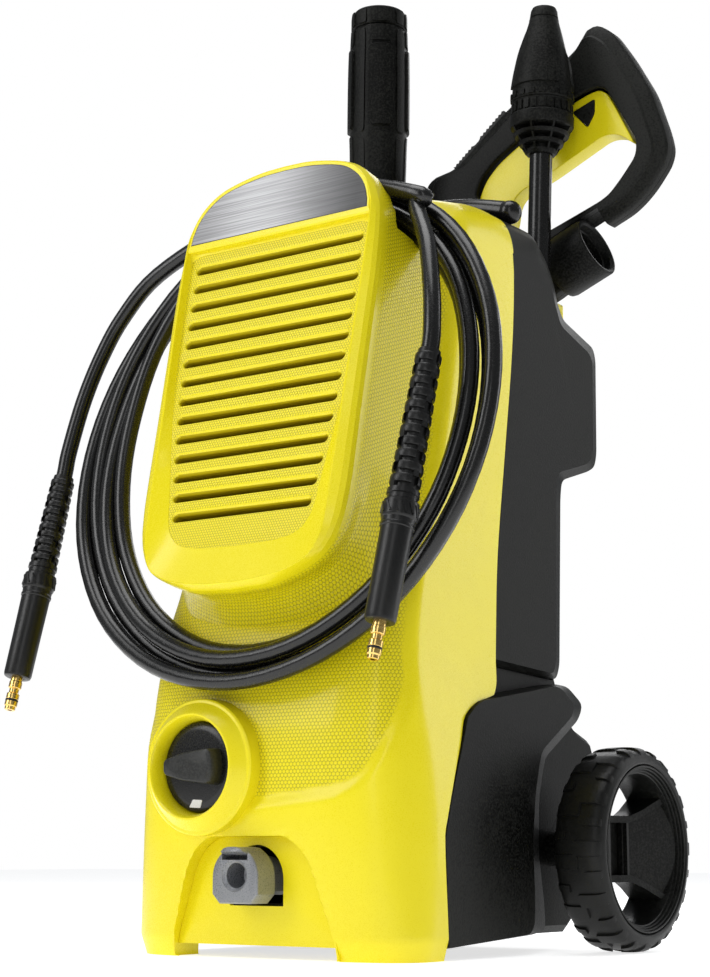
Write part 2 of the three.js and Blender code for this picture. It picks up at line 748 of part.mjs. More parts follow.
function wheel(side) {
  const origin = [onWheel(side, 0), axleY, wheelRadius];
  const rim = [
    [tyreInnerRadius - 7, 4], [tyreInnerRadius, 3], [tyreInnerRadius, tyreWidth - 3],
    [tyreInnerRadius - 4, tyreWidth - 3], [tyreInnerRadius - 7, 30], [tyreInnerRadius - 7, 4],
  ];
  const barrel = revolved(rim, origin, [-side, 0, 0], 24);
  const [hubFace, hubBack] = [onWheel(side, 16), onWheel(side, tyreWidth - 2)];
  const hub = rod(hubRadius, [hubFace, axleY, wheelRadius], [hubBack, axleY, wheelRadius]);
  const sector = (from, to, near, far, inside, outside) => {
    const points = [];
    const steps = 8;
    for (let i = 0; i <= steps; i += 1) {
      const angle = THREE.MathUtils.degToRad(from + ((to - from) * i) / steps);
      points.push([axleY + outside * Math.cos(angle), wheelRadius + outside * Math.sin(angle)]);
    }
    for (let i = steps; i >= 0; i -= 1) {
      const angle = THREE.MathUtils.degToRad(from + ((to - from) * i) / steps);
      points.push([axleY + inside * Math.cos(angle), wheelRadius + inside * Math.sin(angle)]);
    }
    const [low, high] = [onWheel(side, near), onWheel(side, far)].sort((a, b) => a - b);
    return acrossX(points, low, high);
  };
  const pieces = [];
  for (const turn of [0, 180]) {
    pieces.push(sector(turn - 52, turn + 52, 27, 31, hubRadius - 2, tyreInnerRadius - 4));
    pieces.push(sector(turn - 54, turn - 47, 18, 34, hubRadius - 2, tyreInnerRadius - 4));
    pieces.push(sector(turn + 47, turn + 54, 18, 34, hubRadius - 2, tyreInnerRadius - 4));
  }
  const [low, high] = [onWheel(side, -2), onWheel(side, tyreWidth + 2)].sort((a, b) => a - b);
  const bore = rod(axleRadius + gap, [low, axleY, wheelRadius], [high, axleY, wheelRadius]);
  return cut(join(barrel, hub, ...pieces), bore);
}

for (const [side, label] of [[1, 'right'], [-1, 'left']]) {
  addPiece(`wheel_${label}`, wheel(side), blackPlastic);
  addPiece(`tyre_${label}`, tyre(side), rubber);
  const capFoot = side * (192 - 8);
  const cap = cut(
    rod(10, [side * (onWheel(1, 16) + gap), axleY, wheelRadius], [side * 194, axleY, wheelRadius]),
    rod(axleRadius + gap, [capFoot - side * 10, axleY, wheelRadius], [side * (192 + gap), axleY, wheelRadius]),
  );
  addPiece(`axle_cap_${label}`, cap, blackPlastic);
}

// ---------------------------------------------------------------- handle
function handleBarPoint(share) {
  const x = handleBarHalf * share;
  return [x, handleY, handleBarZ + handleArch * (1 - share * share)];
}

function handleBar() {
  const points = [-1, -0.72, -0.4, 0, 0.4, 0.72, 1].map(handleBarPoint);
  const bar = tube(points, handleBarRadius, 10, 8);
  const ball = new THREE.SphereGeometry(handleBarRadius + 1, 8, 6);
  const ends = [-1, 1].map((side) => {
    const [x, y, z] = handleBarPoint(side);
    return solid(ball.clone().translate(x, y, z));
  });
  const tubeTop = handleBarPoint(handleTubeX / handleBarHalf)[2] - 4;
  const sockets = [-1, 1].map((side) => ring(
    handleTubeRadius + gap, handleTubeRadius + 4,
    [side * handleTubeX, handleY, tubeTop - 22], [side * handleTubeX, handleY, tubeTop + 4],
  ));
  const seats = [-1, 1].map((side) => {
    const x = side * handleTubeX;
    return rod(handleTubeRadius + gap, [x, handleY, tubeTop - 30], [x, handleY, tubeTop + gap]);
  });
  return cut(join(bar, ...ends, ...sockets), ...seats);
}

addPiece('handle_grip', handleBar(), smoothBlack);

const tubeTopZ = handleBarPoint(handleTubeX / handleBarHalf)[2] - 4;
for (const [side, label] of [[1, 'right'], [-1, 'left']]) {
  const x = side * handleTubeX;
  const rail = ring(
    handleTubeRadius - 1.5, handleTubeRadius, [x, handleY, tubeTopZ - handleTubeLength], [x, handleY, tubeTopZ],
  );
  addPiece(`handle_tube_${label}`, rail, steel);
  const guide = join(
    ring(handleTubeRadius + gap, handleTubeRadius + 4, [x, handleY, bodyTop - 48], [x, handleY, bodyTop + 2]),
    ring(handleTubeRadius + gap, handleTubeRadius + 7, [x, handleY, bodyTop + gap], [x, handleY, bodyTop + 4]),
  );
  addPiece(`handle_guide_${label}`, guide, blackPlastic);
}

// ---------------------------------------------------------------- outlet coupling
const surroundY = archFaceY + archDepth + wall + gap; // front of the plate behind the arch liner

function outletOutline(grow) {
  const w = outletHalfWidth + grow;
  const h = outletHalfHeight + grow;
  return [
    [-w + 7, -h], [w - 7, -h], [w, -h + 8], [w, h - 14], [w - 6, h - 5], [w - 15, h], [-w + 15, h],
    [-w + 6, h - 5], [-w, h - 14], [-w, -h + 8],
  ].map(([x, z]) => [x, outletZ + z]);
}

const latchHalf = 12;
const latchThickness = 6;
const latchTravel = 3;
const outletTop = outletZ + outletHalfHeight;
const outletBack = outletFaceY + outletDepth;

function outletCoupling() {
  const body = acrossY(outletOutline(0), outletFaceY, outletBack, 1.5);
  const bore = rod(outletBore, [0, outletFaceY - 1, outletZ], [0, outletFaceY + 24, outletZ], 20);
  const throat = rod(5, [0, outletFaceY, outletZ], [0, outletBack + 1, outletZ]);
  const slotFloor = outletTop - latchThickness - latchTravel - 1.5;
  const slot = block(
    [-latchHalf - gap, outletFaceY - 1, slotFloor], [latchHalf + gap, outletFaceY + 26, outletTop + 5],
  );
  return cut(body, bore, throat, slot);
}

addPiece('outlet_coupling', outletCoupling(), greyPlastic);

function outletLatch() {
  const low = outletTop - latchThickness;
  const plate = block([-latchHalf, outletFaceY, low], [latchHalf, outletFaceY + 25.7, outletTop + 0.5]);
  const lip = block([-latchHalf, outletFaceY - 4, outletTop - 3], [latchHalf, outletFaceY + 2, outletTop + 2]);
  return join(plate, lip);
}

addPiece('outlet_latch', outletLatch(), greyPlastic);

const surround = acrossY(
  [[-34, outletZ - 31], [34, outletZ - 31], [34, outletZ + 32], [-34, outletZ + 32]],
  surroundY, surroundY + 5, 0, [outletOutline(gap)],
);
addPiece('outlet_surround', surround, blackPlastic);

// ---------------------------------------------------------------- motor and pump
const shelfUnder = motorFloor - 14;
const pumpFloor = 58;
const pumpDeck = 132;
const pistonCircle = 23;
const pistonRadius = 8;
const pistonStroke = 6;
const wobbleFloor = 143;

function onMotor(points, sides = 20) {
  return revolved(points, [0, motorY, 0], [0, 0, 1], sides);
}

function pumpHead(grow) {
  const [low, high] = [pumpFloor - grow, shelfUnder - gap];
  const head = onMotor([
    [0, low], [pumpRadius + grow, low], [pumpRadius + grow, high], [pumpRadius - 6, high],
    [pumpRadius - 6, pumpDeck], [0, pumpDeck],
  ]);
  if (grow > 0) return head;
  const bores = [0, 1, 2].map((i) => {
    const [x, y] = pistonPlace(i);
    return rod(pistonRadius + gap, [x, y, pumpDeck - 28], [x, y, pumpDeck + 1]);
  });
  return cut(head, ...bores);
}

function pistonPlace(i) {
  const angle = (2 * Math.PI * i) / 3 + Math.PI / 6;
  return [pistonCircle * Math.cos(angle), motorY + pistonCircle * Math.sin(angle)];
}

const motorShell = onMotor([
  [shaftRadius + gap, motorFloor], [motorRadius, motorFloor], [motorRadius, motorTop],
  [shaftRadius + gap, motorTop], [shaftRadius + gap, motorTop - 3], [motorBore, motorTop - 3],
  [motorBore, motorFloor + 3], [shaftRadius + gap, motorFloor + 3],
  [shaftRadius + gap, motorFloor],
]);
addPiece('motor_body', motorShell, steel);

const rotor = onMotor([
  [0, wobbleFloor], [shaftRadius, wobbleFloor], [shaftRadius, motorFloor + 14], [rotorRadius, motorFloor + 14],
  [rotorRadius, motorTop - 14], [shaftRadius, motorTop - 14], [shaftRadius, motorTop + 22], [0, motorTop + 22],
]);
addPiece('motor_rotor', rotor, steel);

function motorFan() {
  const low = motorTop + gap + 1;
  const hub = onMotor([[shaftRadius + gap, low], [14, low], [14, low + 16], [shaftRadius + gap, low + 16],
    [shaftRadius + gap, low]]);
  const disc = onMotor([[12, low], [44, low], [44, low + 2], [12, low + 2], [12, low]]);
  const blades = [];
  for (let i = 0; i < 8; i += 1) {
    const blade = block([12, -1, low + 1], [43, 1, low + 14]).rotate([0, 0, 45 * i]);
    blades.push(blade.translate([0, motorY, 0]));
  }
  return join(hub, disc, ...blades);
}

addPiece('motor_fan', motorFan(), blackPlastic);

function wobblePlate() {
  const plate = onMotor([[shaftRadius + gap, wobbleFloor], [34, wobbleFloor], [34, motorFloor - 3],
    [shaftRadius + gap, motorFloor - 3], [shaftRadius + gap, wobbleFloor]]);
  const under = [
    [-60, wobbleFloor + 1], [60, wobbleFloor + 13], [60, wobbleFloor - 60], [-60, wobbleFloor - 60],
  ];
  const slope = acrossY(under, motorY - 60, motorY + 60);
  return cut(plate, slope);
}

addPiece('wobble_plate', wobblePlate(), steel);
addPiece('pump_head', pumpHead(0), aluminium);

for (let i = 0; i < 3; i += 1) {
  const [x, y] = pistonPlace(i);
  addPiece(`piston_${i + 1}`, rod(pistonRadius, [x, y, pumpDeck - 18], [x, y, wobbleFloor - gap]), steel);
}

const pumpRoom = pumpHead(gap);
const outletPipe = cut(rod(9, [0, outletBack + gap, outletZ], [0, motorY - 20, outletZ]), pumpRoom);
addPiece('outlet_pipe', outletPipe, brass);

const pressureSwitch = cut(
  join(
    rod(8, [20, motorY, 92], [56, motorY, 92]),
    block([54, motorY - 14, 78], [84, motorY + 14, 112]),
  ),
  pumpRoom,
);
addPiece('pressure_switch', pressureSwitch, blackPlastic);

function waterInlet() {
  const back = chassisBackY;
  const pipe = rod(7, [inletX, motorY + 10, inletZ], [inletX, back + 2, inletZ]);
  const collar = rod(inletCollar, [inletX, back - 8, inletZ], [inletX, back + 6, inletZ]);
  const spigot = rod(10, [inletX, back + 5, inletZ], [inletX, back + 14, inletZ]);
  const mouth = rod(6, [inletX, back - 6, inletZ], [inletX, back + 15, inletZ]);
  return cut(join(pipe, collar, spigot), mouth, pumpRoom);
}

addPiece('water_inlet', waterInlet(), blackPlastic);
const filter = ring(3.5, 6 - gap, [inletX, chassisBackY - 5, inletZ], [inletX, chassisBackY + 13, inletZ], 12);
addPiece('inlet_filter', filter, steel);

const gland = join(
  rod(glandRadius, [glandX, chassisBackY - 7, glandZ], [glandX, chassisBackY + 2, glandZ]),
  rod(glandRadius + 3, [glandX, chassisBackY + gap, glandZ], [glandX, chassisBackY + 5, glandZ]),
);
addPiece('cable_gland', cut(gland, rod(4, [glandX, 160, glandZ], [glandX, 180, glandZ])), blackPlastic);

// ---------------------------------------------------------------- lances
function onLance(lance, points, sides = 18) {
  const up = [Math.sin(lance.lean), 0, Math.cos(lance.lean)];
  return revolved(points, [lance.floorX, lanceY, lanceFloorZ], up, sides);
}

function leanedTo(lance, body) {
  const lean = THREE.MathUtils.radToDeg(lance.lean);
  return body.rotate([0, lean, 0]).translate([lance.floorX, lanceY, lanceFloorZ]);
}

const dirtTube = onLance(dirtLance, [
  [0, gap], [lanceTubeRadius, gap], [lanceTubeRadius, 330], [0, 330],
], 16);
addPiece('dirt_lance_tube', dirtTube, smoothBlack);

const sleeveBore = lanceTubeRadius + gap;
function dirtRing() {
  const points = [[sleeveBore, 283], [14, 283], [16, 287], [12.5, 287.3], [12.5, 291], [20, 291], [21.5, 295],
    [13, 295.3], [13, 299], [25, 299], [26.5, 303], [13.5, 303.3], [13.5, 307], [28, 307], [29.5, 309],
    [29.5, 319], [27, 320], [27, 330], [29, 331.7], [sleeveBore, 331.7], [sleeveBore, 283]];
  const webs = [0, 60, 120].map((turn) => {
    const web = block([-26, -1.2, 284], [26, 1.2, 308]).rotate([0, 0, turn]);
    const cone = revolved([[sleeveBore + 1, 283.5], [15, 283.5], [28, 307.5], [sleeveBore + 1, 307.5],
      [sleeveBore + 1, 283.5]], [0, 0, 0], [0, 0, 1], 14);
    return leanedTo(dirtLance, web.intersect(cone));
  });
  return join(onLance(dirtLance, points, 14), ...webs);
}

addPiece('dirt_lance_ring', dirtRing(), blackPlastic);
const dirtHead = onLance(dirtLance, [
  [0, 332], [28.5, 332], [29.8, 336], [29.3, 346], [27.5, 360], [24, 379], [19.5, 398], [14.5, 413],
  [13.4, 414], [12.6, 416], [11, 424], [5, 424], [3, 418], [0, 418],
]);
addPiece('dirt_lance_head', dirtHead, blackPlastic);

const varioTube = onLance(varioLance, [
  [0, gap], [lanceTubeRadius, gap], [lanceTubeRadius, 466], [0, 466],
], 16);
addPiece('vario_lance_tube', varioTube, smoothBlack);

function varioSleeve() {
  const round = onLance(varioLance, [
    [sleeveBore, 268], [20, 268], [25, 276], [27, 290], [28, 338], [28.8, 344], [28.8, 400], [28, 438],
    [26, 446], [26, 448], [sleeveBore, 448], [sleeveBore, 268],
  ]);
  const pads = [0, 1, 2, 3].map((i) =>
    leanedTo(varioLance, block([26, -9, 346], [31, 9, 428]).rotate([0, 0, 90 * i + 20])));
  return join(round, ...pads);
}

addPiece('vario_sleeve', varioSleeve(), blackPlastic);
const varioCap = onLance(varioLance, [
  [sleeveBore, 448 + gap], [26, 448 + gap], [27.5, 452], [28, 466], [26.5, 474], [14, 474], [12, 469],
  [sleeveBore, 468], [sleeveBore, 448 + gap],
], 20);
addPiece('vario_cap', varioCap, blackPlastic);

// ---------------------------------------------------------------- trigger gun
const gunOuter = [
  [118, 837], [110, 823], [97, 814], [62, 797], [27, 776], [-8, 748], [-30, 730], [-55, 726], [-63, 720],
  [-72, 692], [-67, 640], [-50, 596], [-22, 572], [20, 568], [75, 584], [104, 600], [126, 641], [156, 653],
  [168, 661], [180, 672], [195, 691], [199, 704], [196, 720], [183, 761], [162, 800], [144, 828], [129, 839],
];
const gunLoop = [
  [160, 720], [140, 757], [134, 770], [127, 775], [118, 774], [98, 768], [43, 741], [19, 727], [3, 712],
  [-4, 695], [22, 675], [24, 642], [69, 654], [124, 673], [131, 676], [144, 689], [160, 706],
];
const triggerOutline = [
  [157, 719], [139, 755], [133, 768], [126.5, 773], [118, 772], [99, 766], [44, 739], [21, 725.5], [5.5, 710.5],
  [-3.5, 691], [-2.5, 672], [7, 655], [22, 650], [31, 662], [35, 684], [44, 693], [74, 704], [132, 732], [145, 731],
];
const triggerPivot = [7, 668];
const lockOutline = [[99, 761], [120, 768], [119, 757], [113, 746]];
const lockHalf = triggerHalfThickness + 1;
const lockTravel = 1.5;
const muzzleMouth = [119, 628];
const muzzleAxis = [0.93, 0.37];

function onMuzzle(back) {
  return [muzzleMouth[0] - muzzleAxis[0] * back, gunY, muzzleMouth[1] - muzzleAxis[1] * back];
}

function turnAbout(points, [x, z], degrees) {
  const angle = THREE.MathUtils.degToRad(degrees);
  return points.map(([u, v]) => [
    x + (u - x) * Math.cos(angle) - (v - z) * Math.sin(angle),
    z + (u - x) * Math.sin(angle) + (v - z) * Math.cos(angle),
  ]);
}

function gunForm() {
  const [front, back] = [gunY - gunHalfThickness, gunY + gunHalfThickness];
  const full = acrossY(gunOuter, front, back, 4, [gunLoop]);
  const hollow = acrossY(
    offsetOutline(gunOuter, -gunWall), front + gunWall, back - gunWall, 2, [offsetOutline(gunLoop, gunWall)],
  );
  const swings = [0, 0.25, 0.5, 0.75, 1].map((share) => share * (triggerTravelDeg + 1));
  const sweep = [swings[0], swings[2], swings[4]].map((degrees) => acrossY(
    turnAbout(offsetOutline(triggerOutline, 0.8), triggerPivot, degrees),
    gunY - triggerHalfThickness - gap, gunY + triggerHalfThickness + gap,
  ));
  const lockSweep = swings.map((degrees) => acrossY(
    turnAbout(offsetOutline(lockOutline, 0.8), triggerPivot, degrees),
    gunY - lockHalf - gap, gunY + lockHalf + lockTravel + gap,
  ));
  const muzzleRoom = rod(muzzleRadius + gap, onMuzzle(-20), onMuzzle(muzzleLength + gap), 24);
  const neckRoom = rod(17 + gap, onMuzzle(0), onMuzzle(muzzleLength + 14 + gap), 16);
  const pin = rod(3, [triggerPivot[0], front + 1, triggerPivot[1]], [triggerPivot[0], back - 1, triggerPivot[1]], 12);
  return join(cut(full, hollow, ...sweep, ...lockSweep, muzzleRoom, neckRoom), pin);
}

const gunWhole = gunForm();
const seam = gap / 2;
addPiece('gun_shell_front', gunWhole.intersect(block([-200, 0, 500], [300, gunY - seam, 900])), blackPlastic);
addPiece('gun_shell_back', gunWhole.intersect(block([-200, gunY + seam, 500], [300, 300, 900])), blackPlastic);

function gunTrigger() {
  const lever = acrossY(triggerOutline, gunY - triggerHalfThickness, gunY + triggerHalfThickness, 3);
  const pinHole = rod(3 + gap, [triggerPivot[0], 100, triggerPivot[1]], [triggerPivot[0], 260, triggerPivot[1]], 12);
  const lockHole = acrossY(offsetOutline(lockOutline, gap), 100, 260);
  return cut(lever, pinHole, lockHole);
}

addPiece('gun_trigger', gunTrigger(), yellow);
const lock = acrossY(lockOutline, gunY - lockHalf, gunY + lockHalf, 1);
addPiece('gun_lock', lock, blackPlastic);

function muzzle() {
  const barrel = rod(muzzleRadius, onMuzzle(0), onMuzzle(muzzleLength), 24);
  const neck = rod(17, onMuzzle(muzzleLength - 2), onMuzzle(muzzleLength + 14), 16);
  const bore = rod(muzzleBore, onMuzzle(-1), onMuzzle(32), 24);
  const keys = [0, 180].map((turn) => {
    const angle = THREE.MathUtils.degToRad(turn);
    const [x, , z] = onMuzzle(16);
    const key = rod(3.5, [x, gunY + 18 * Math.cos(angle), z], [x, gunY + 26 * Math.cos(angle), z], 8);
    return key;
  });
  return join(cut(join(barrel, neck), bore), ...keys);
}

addPiece('gun_muzzle', muzzle(), blackPlastic);

function gripPad() {
  const points = [[27, 776.4], [-8, 748.4], [-30, 730.4]];
  const outline = [points[0]];
  const ribs = 14;
  for (let i = 1; i < ribs; i += 1) {
    const share = i / ribs;
    const x = 27 - 57 * share;
    const z = x > -8 ? 748.4 + ((x + 8) * 28) / 35 : 730.4 + ((x + 30) * 18) / 22;
    const rise = i % 2 === 0 ? 1.2 : 3;
    outline.push([x - rise * 0.63, z + rise * 0.78]);
  }
  outline.push(points[2], points[1]);
  return acrossY(outline, gunY - 9, gunY + 9);
}

addPiece('gun_grip_pad', gripPad(), rubber);
const inletFoot = [80, 806];
const inletUp = [-0.44, 0.9];
const gunInlet = cut(
  rod(10, [inletFoot[0] - inletUp[0] * 8, gunY, inletFoot[1] - inletUp[1] * 8],
    [inletFoot[0] + inletUp[0] * 22, gunY, inletFoot[1] + inletUp[1] * 22]),
  rod(5.5, [inletFoot[0] + inletUp[0] * 8, gunY, inletFoot[1] + inletUp[1] * 8],
    [inletFoot[0] + inletUp[0] * 24, gunY, inletFoot[1] + inletUp[1] * 24], 12),
  acrossY(offsetOutline(gunOuter, gap), gunY - 20, gunY + 20),
);
addPiece('gun_inlet', gunInlet, blackPlastic);

const muzzleShadow = [[-20, 1], [muzzleLength + gap, 1], [muzzleLength + gap, -1], [-20, -1]].map(([back, out]) => {
  const [x, , z] = onMuzzle(back);
  const reach = out * (muzzleRadius + gap);
  return [x - muzzleAxis[1] * reach, z + muzzleAxis[0] * reach];
});
const cradle = cut(
  block([50, 150, 520], [80, 197, 592]),
  rearForm(-gap),
  acrossY(offsetOutline(gunOuter, gap), gunY - gunHalfThickness - gap, gunY + 40),
  rod(muzzleRadius + gap, onMuzzle(-20), onMuzzle(muzzleLength + gap), 24),
  acrossY(muzzleShadow, gunY, gunY + 40),
);
addPiece('gun_cradle', cradle, yellow);

// ---------------------------------------------------------------- high-pressure hose
const coilSlope = Math.tan(coilLean);
function inCoilPlane(x, z, ahead = 0) {
  return [x, coilCentre[1] + (z - coilCentre[2]) * coilSlope - ahead, z];
}

addPiece('hose_coil', coil, smoothBlack);

const rightTail = [
  [58, -92, 624], [92, -97, 611], [118, -113, 588], [142, -134, 548], [158, -152, 505], [165, -162, 475],
];
const leftTail = [
  [-127.5, -92, 601], [-171, -96, 584], [-203, -105, 549], [-220, -114, 513], [-231, -124, 472], [-235.6, -136, 425],
];
const coilShadow = coilForm(gap);
const gripEnds = {
  right: [[167, -168.5, 449.7], [159, -223, 241]],
  left: [[-236, -141.1, 401.7], [-241, -185.5, 224]],
};

for (const [side, points] of [['right', rightTail], ['left', leftTail]]) {
  const [top, foot] = gripEnds[side];
  const start = new THREE.Vector3(...top);
  const aim = new THREE.Vector3(...foot).sub(start);
  const reach = aim.length();
  const run = [10, gap].map((before) => start.clone().addScaledVector(aim, -before / reach).toArray());
  const steps = 11;
  addPiece(`hose_tail_${side}`, cut(tube([...points, ...run], hoseRadius, 8, steps), coilShadow), smoothBlack);
  const ringAt = reach - 92;
  const sleeve = revolved([
    [0, 0], [9.5, 0], [10.5, 3], [12.5, ringAt - 8], [11, ringAt - 6], [11, ringAt - 2], [14, ringAt],
    [14.5, ringAt + 13], [12, ringAt + 19], [11.8, reach - 2], [10, reach], [0, reach],
  ], top, aim.toArray(), 14);
  addPiece(`hose_grip_${side}`, sleeve, blackPlastic);
  const nippleFoot = start.clone().addScaledVector(aim.clone().normalize(), reach + gap);
  const nipple = revolved([
    [0, 0], [5.2, 0], [5.2, 9], [4, 10], [4, 13], [5.2, 14], [5.2, 25], [4.4, 28], [2, 28], [2, 6], [0, 6],
  ], nippleFoot.toArray(), aim.toArray(), 12);
  addPiece(`hose_nipple_${side}`, nipple, brass);
}

export default machine;
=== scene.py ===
import json
import math
from functools import cache, partial

import bmesh
import bpy
from mathutils import Matrix, Vector

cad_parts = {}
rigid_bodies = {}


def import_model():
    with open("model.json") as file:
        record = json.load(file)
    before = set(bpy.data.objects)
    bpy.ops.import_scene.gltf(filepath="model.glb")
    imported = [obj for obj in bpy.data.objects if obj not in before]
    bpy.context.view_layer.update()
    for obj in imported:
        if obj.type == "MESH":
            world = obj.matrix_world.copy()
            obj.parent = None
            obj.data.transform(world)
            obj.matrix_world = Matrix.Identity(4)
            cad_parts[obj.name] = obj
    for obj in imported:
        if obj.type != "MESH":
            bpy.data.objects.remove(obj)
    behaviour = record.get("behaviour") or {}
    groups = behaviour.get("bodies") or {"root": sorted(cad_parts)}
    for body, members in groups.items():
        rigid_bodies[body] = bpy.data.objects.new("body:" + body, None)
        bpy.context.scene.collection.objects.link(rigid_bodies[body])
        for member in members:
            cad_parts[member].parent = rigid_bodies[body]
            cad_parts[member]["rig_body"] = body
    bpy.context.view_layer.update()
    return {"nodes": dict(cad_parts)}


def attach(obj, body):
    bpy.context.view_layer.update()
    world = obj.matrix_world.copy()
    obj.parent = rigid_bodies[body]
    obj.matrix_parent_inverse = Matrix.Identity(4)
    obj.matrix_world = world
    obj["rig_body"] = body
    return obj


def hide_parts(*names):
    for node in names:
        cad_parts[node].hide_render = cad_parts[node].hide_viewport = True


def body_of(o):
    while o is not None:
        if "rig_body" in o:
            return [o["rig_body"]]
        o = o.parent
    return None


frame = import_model()

scene = bpy.context.scene
INTO_METRES = 0.001

# ---------------------------------------------------------------- camera, floor and light

LENS = 73.54  # mm
EYE = (0.9754, -1.3778, 0.0795)
EYE_TILT, EYE_TURN = 100.34, 35.97  # degrees

camera = bpy.data.objects.new("camera", bpy.data.cameras.new("camera"))
camera.data.lens = LENS
camera.data.sensor_width = 36
camera.location = EYE
camera.rotation_euler = (math.radians(EYE_TILT), 0, math.radians(EYE_TURN))
scene.collection.objects.link(camera)
scene.camera = camera
scene.view_settings.view_transform = "Standard"


def fill(tree, node, values):
    """Sets a shader node's inputs, each to a constant or to another node's output."""
    for socket, value in values.items():
        if isinstance(value, bpy.types.NodeSocket):
            tree.links.new(value, node.inputs[socket])
        else:
            node.inputs[socket].default_value = value


def add(tree, kind, values=None, **traits):
    """A new shader node with its traits and the values of its inputs."""
    node = tree.nodes.new(f"ShaderNode{kind}")
    for trait, value in traits.items():
        setattr(node, trait, value)
    fill(tree, node, values or {})
    return node


def soft_light(name, place, aim_height, size, power):
    """A large studio lamp that looks at a point above the origin, all in metres."""
    lamp = bpy.data.lights.new(name, "AREA")
    lamp.shape = "RECTANGLE"
    lamp.size, lamp.size_y = size
    lamp.energy = power
    obj = bpy.data.objects.new(name, lamp)
    obj.location = place
    away = Vector((0, 0, aim_height)) - Vector(place)
    obj.rotation_euler = away.to_track_quat("-Z", "Y").to_euler()
    scene.collection.objects.link(obj)


def studio():
    """A white backdrop with a dimmer glow of its own, and five soft lamps."""
    world = bpy.data.worlds.new("studio")
    world.use_nodes = True
    tree = world.node_tree
    tree.nodes.clear()
    seen = add(tree, "Background", {"Color": (1, 1, 1, 1), "Strength": 1.0})
    glow = add(tree, "Background", {"Color": (0.93, 0.96, 1, 1), "Strength": 0.25})
    ray = add(tree, "LightPath").outputs["Is Camera Ray"]
    pick = add(tree, "MixShader", {0: ray, 1: glow.outputs[0], 2: seen.outputs[0]})
    add(tree, "OutputWorld", {0: pick.outputs[0]})
    scene.world = world
    soft_light("key_lamp", (-1.5, -2.4, 1.9), 0.4, (1.2, 2.2), 35)
    soft_light("front_lamp", (1.3, -2.5, 1.2), 0.4, (0.6, 2.0), 8)
    soft_light("side_lamp", (1.7, 2.3, 1.2), 0.4, (0.8, 2.2), 15)
    soft_light("back_lamp", (-0.6, 2.4, 1.8), 0.5, (2.0, 1.2), 18)
    soft_light("top_lamp", (0, -0.3, 2.8), 0.4, (1.6, 1.6), 30)


studio()

# ---------------------------------------------------------------- ways of making a mesh


def placed(bm, name):
    """An object in the scene from a mesh, which is then let go."""
    mesh = bpy.data.meshes.new(name)
    bm.to_mesh(mesh)
    bm.free()
    obj = bpy.data.objects.new(name, mesh)
    scene.collection.objects.link(obj)
    return obj


def piece(bm, name, looks, takes=None, body="root", sharp=35):
    """A finished piece in metres from a mesh in millimetres, on the body of the node it stands for."""
    bmesh.ops.scale(bm, vec=(INTO_METRES,) * 3, verts=bm.verts)
    obj = placed(bm, name)
    looks = looks if isinstance(looks, list) else [looks]
    for look in looks:
        obj.data.materials.append(look)
    obj.data.polygons.foreach_set("use_smooth", [True] * len(obj.data.polygons))
    obj.data.set_sharp_from_angle(angle=math.radians(sharp))
    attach(obj, body_of(frame["nodes"][takes])[0] if takes else body)
    if takes:
        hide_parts(takes)
    return obj


def rounded(obj, width, segments=2, angle=35):
    """Rounds a piece's sharp edges, with its width in millimetres."""
    edge = obj.modifiers.new("edge_round", "BEVEL")
    edge.width = width * INTO_METRES
    edge.segments = segments
    edge.limit_method = "ANGLE"
    edge.angle_limit = math.radians(angle)
    edge.harden_normals = False
    return obj


def tidy(bm, merge=0.01):
    bmesh.ops.remove_doubles(bm, verts=bm.verts, dist=merge)
    bmesh.ops.recalc_face_normals(bm, faces=bm.faces)
    return bm


def lathe(profile, steps=48, origin=(0, 0, 0), axis=(0, 0, 1), angle=360, start=0):
    """Spins (radius, height) points round an axis through origin."""
    bm = bmesh.new()
    corners = [bm.verts.new((r, 0, h)) for r, h in profile]
    edges = [bm.edges.new(pair) for pair in zip(corners, corners[1:])]
    if start:
        bmesh.ops.rotate(bm, verts=bm.verts, matrix=Matrix.Rotation(math.radians(start), 3, "Z"))
    bmesh.ops.spin(
        bm, geom=corners + edges, cent=(0, 0, 0), axis=(0, 0, 1), angle=math.radians(angle),
        steps=steps, use_merge=angle == 360, use_normal_flip=False, use_duplicate=False,
    )
    turn = Vector((0, 0, 1)).rotation_difference(Vector(axis)).to_matrix()
    tidy(bm)
    bmesh.ops.rotate(bm, verts=bm.verts, matrix=turn)
    bmesh.ops.translate(bm, vec=Vector(origin), verts=bm.verts)
    return bm


def shaped_sheet(columns, rows, place):
    """A grid shaped by place(across, up), both 0 to 1: a point, its map in mm and how dotted it is."""
    bm = bmesh.new()
    bmesh.ops.create_grid(bm, x_segments=columns, y_segments=rows, size=0.5)
    lay = bm.loops.layers.uv.new("UVMap")
    dotted = bm.verts.layers.float.new("dotted")
    spots = {}
    for v in bm.verts:
        v.co, spots[v], v[dotted] = place(v.co.x + 0.5, v.co.y + 0.5)
    for face in bm.faces:
        for loop in face.loops:
            loop[lay].uv = [m * INTO_METRES for m in spots[loop.vert]]
    return bm


def prism(points, low, high, place=lambda a, b, c: (a, b, c)):
    """Extrudes an outline from low to high, and puts each point where place says."""
    bm = bmesh.new()
    face = bm.faces.new([bm.verts.new((a, b, low)) for a, b in points])
    out = bmesh.ops.extrude_face_region(bm, geom=[face])
    for v in out["geom"]:
        if isinstance(v, bmesh.types.BMVert):
            v.co.z = high
    for v in bm.verts:
        v.co = Vector(place(*v.co))
    return tidy(bm, 0.001)


def block(low, high):
    bm = bmesh.new()
    bmesh.ops.create_cube(bm, size=1)
    for v in bm.verts:
        v.co = [a + (b - a) * (c + 0.5) for a, b, c in zip(low, high, v.co)]
    return bm


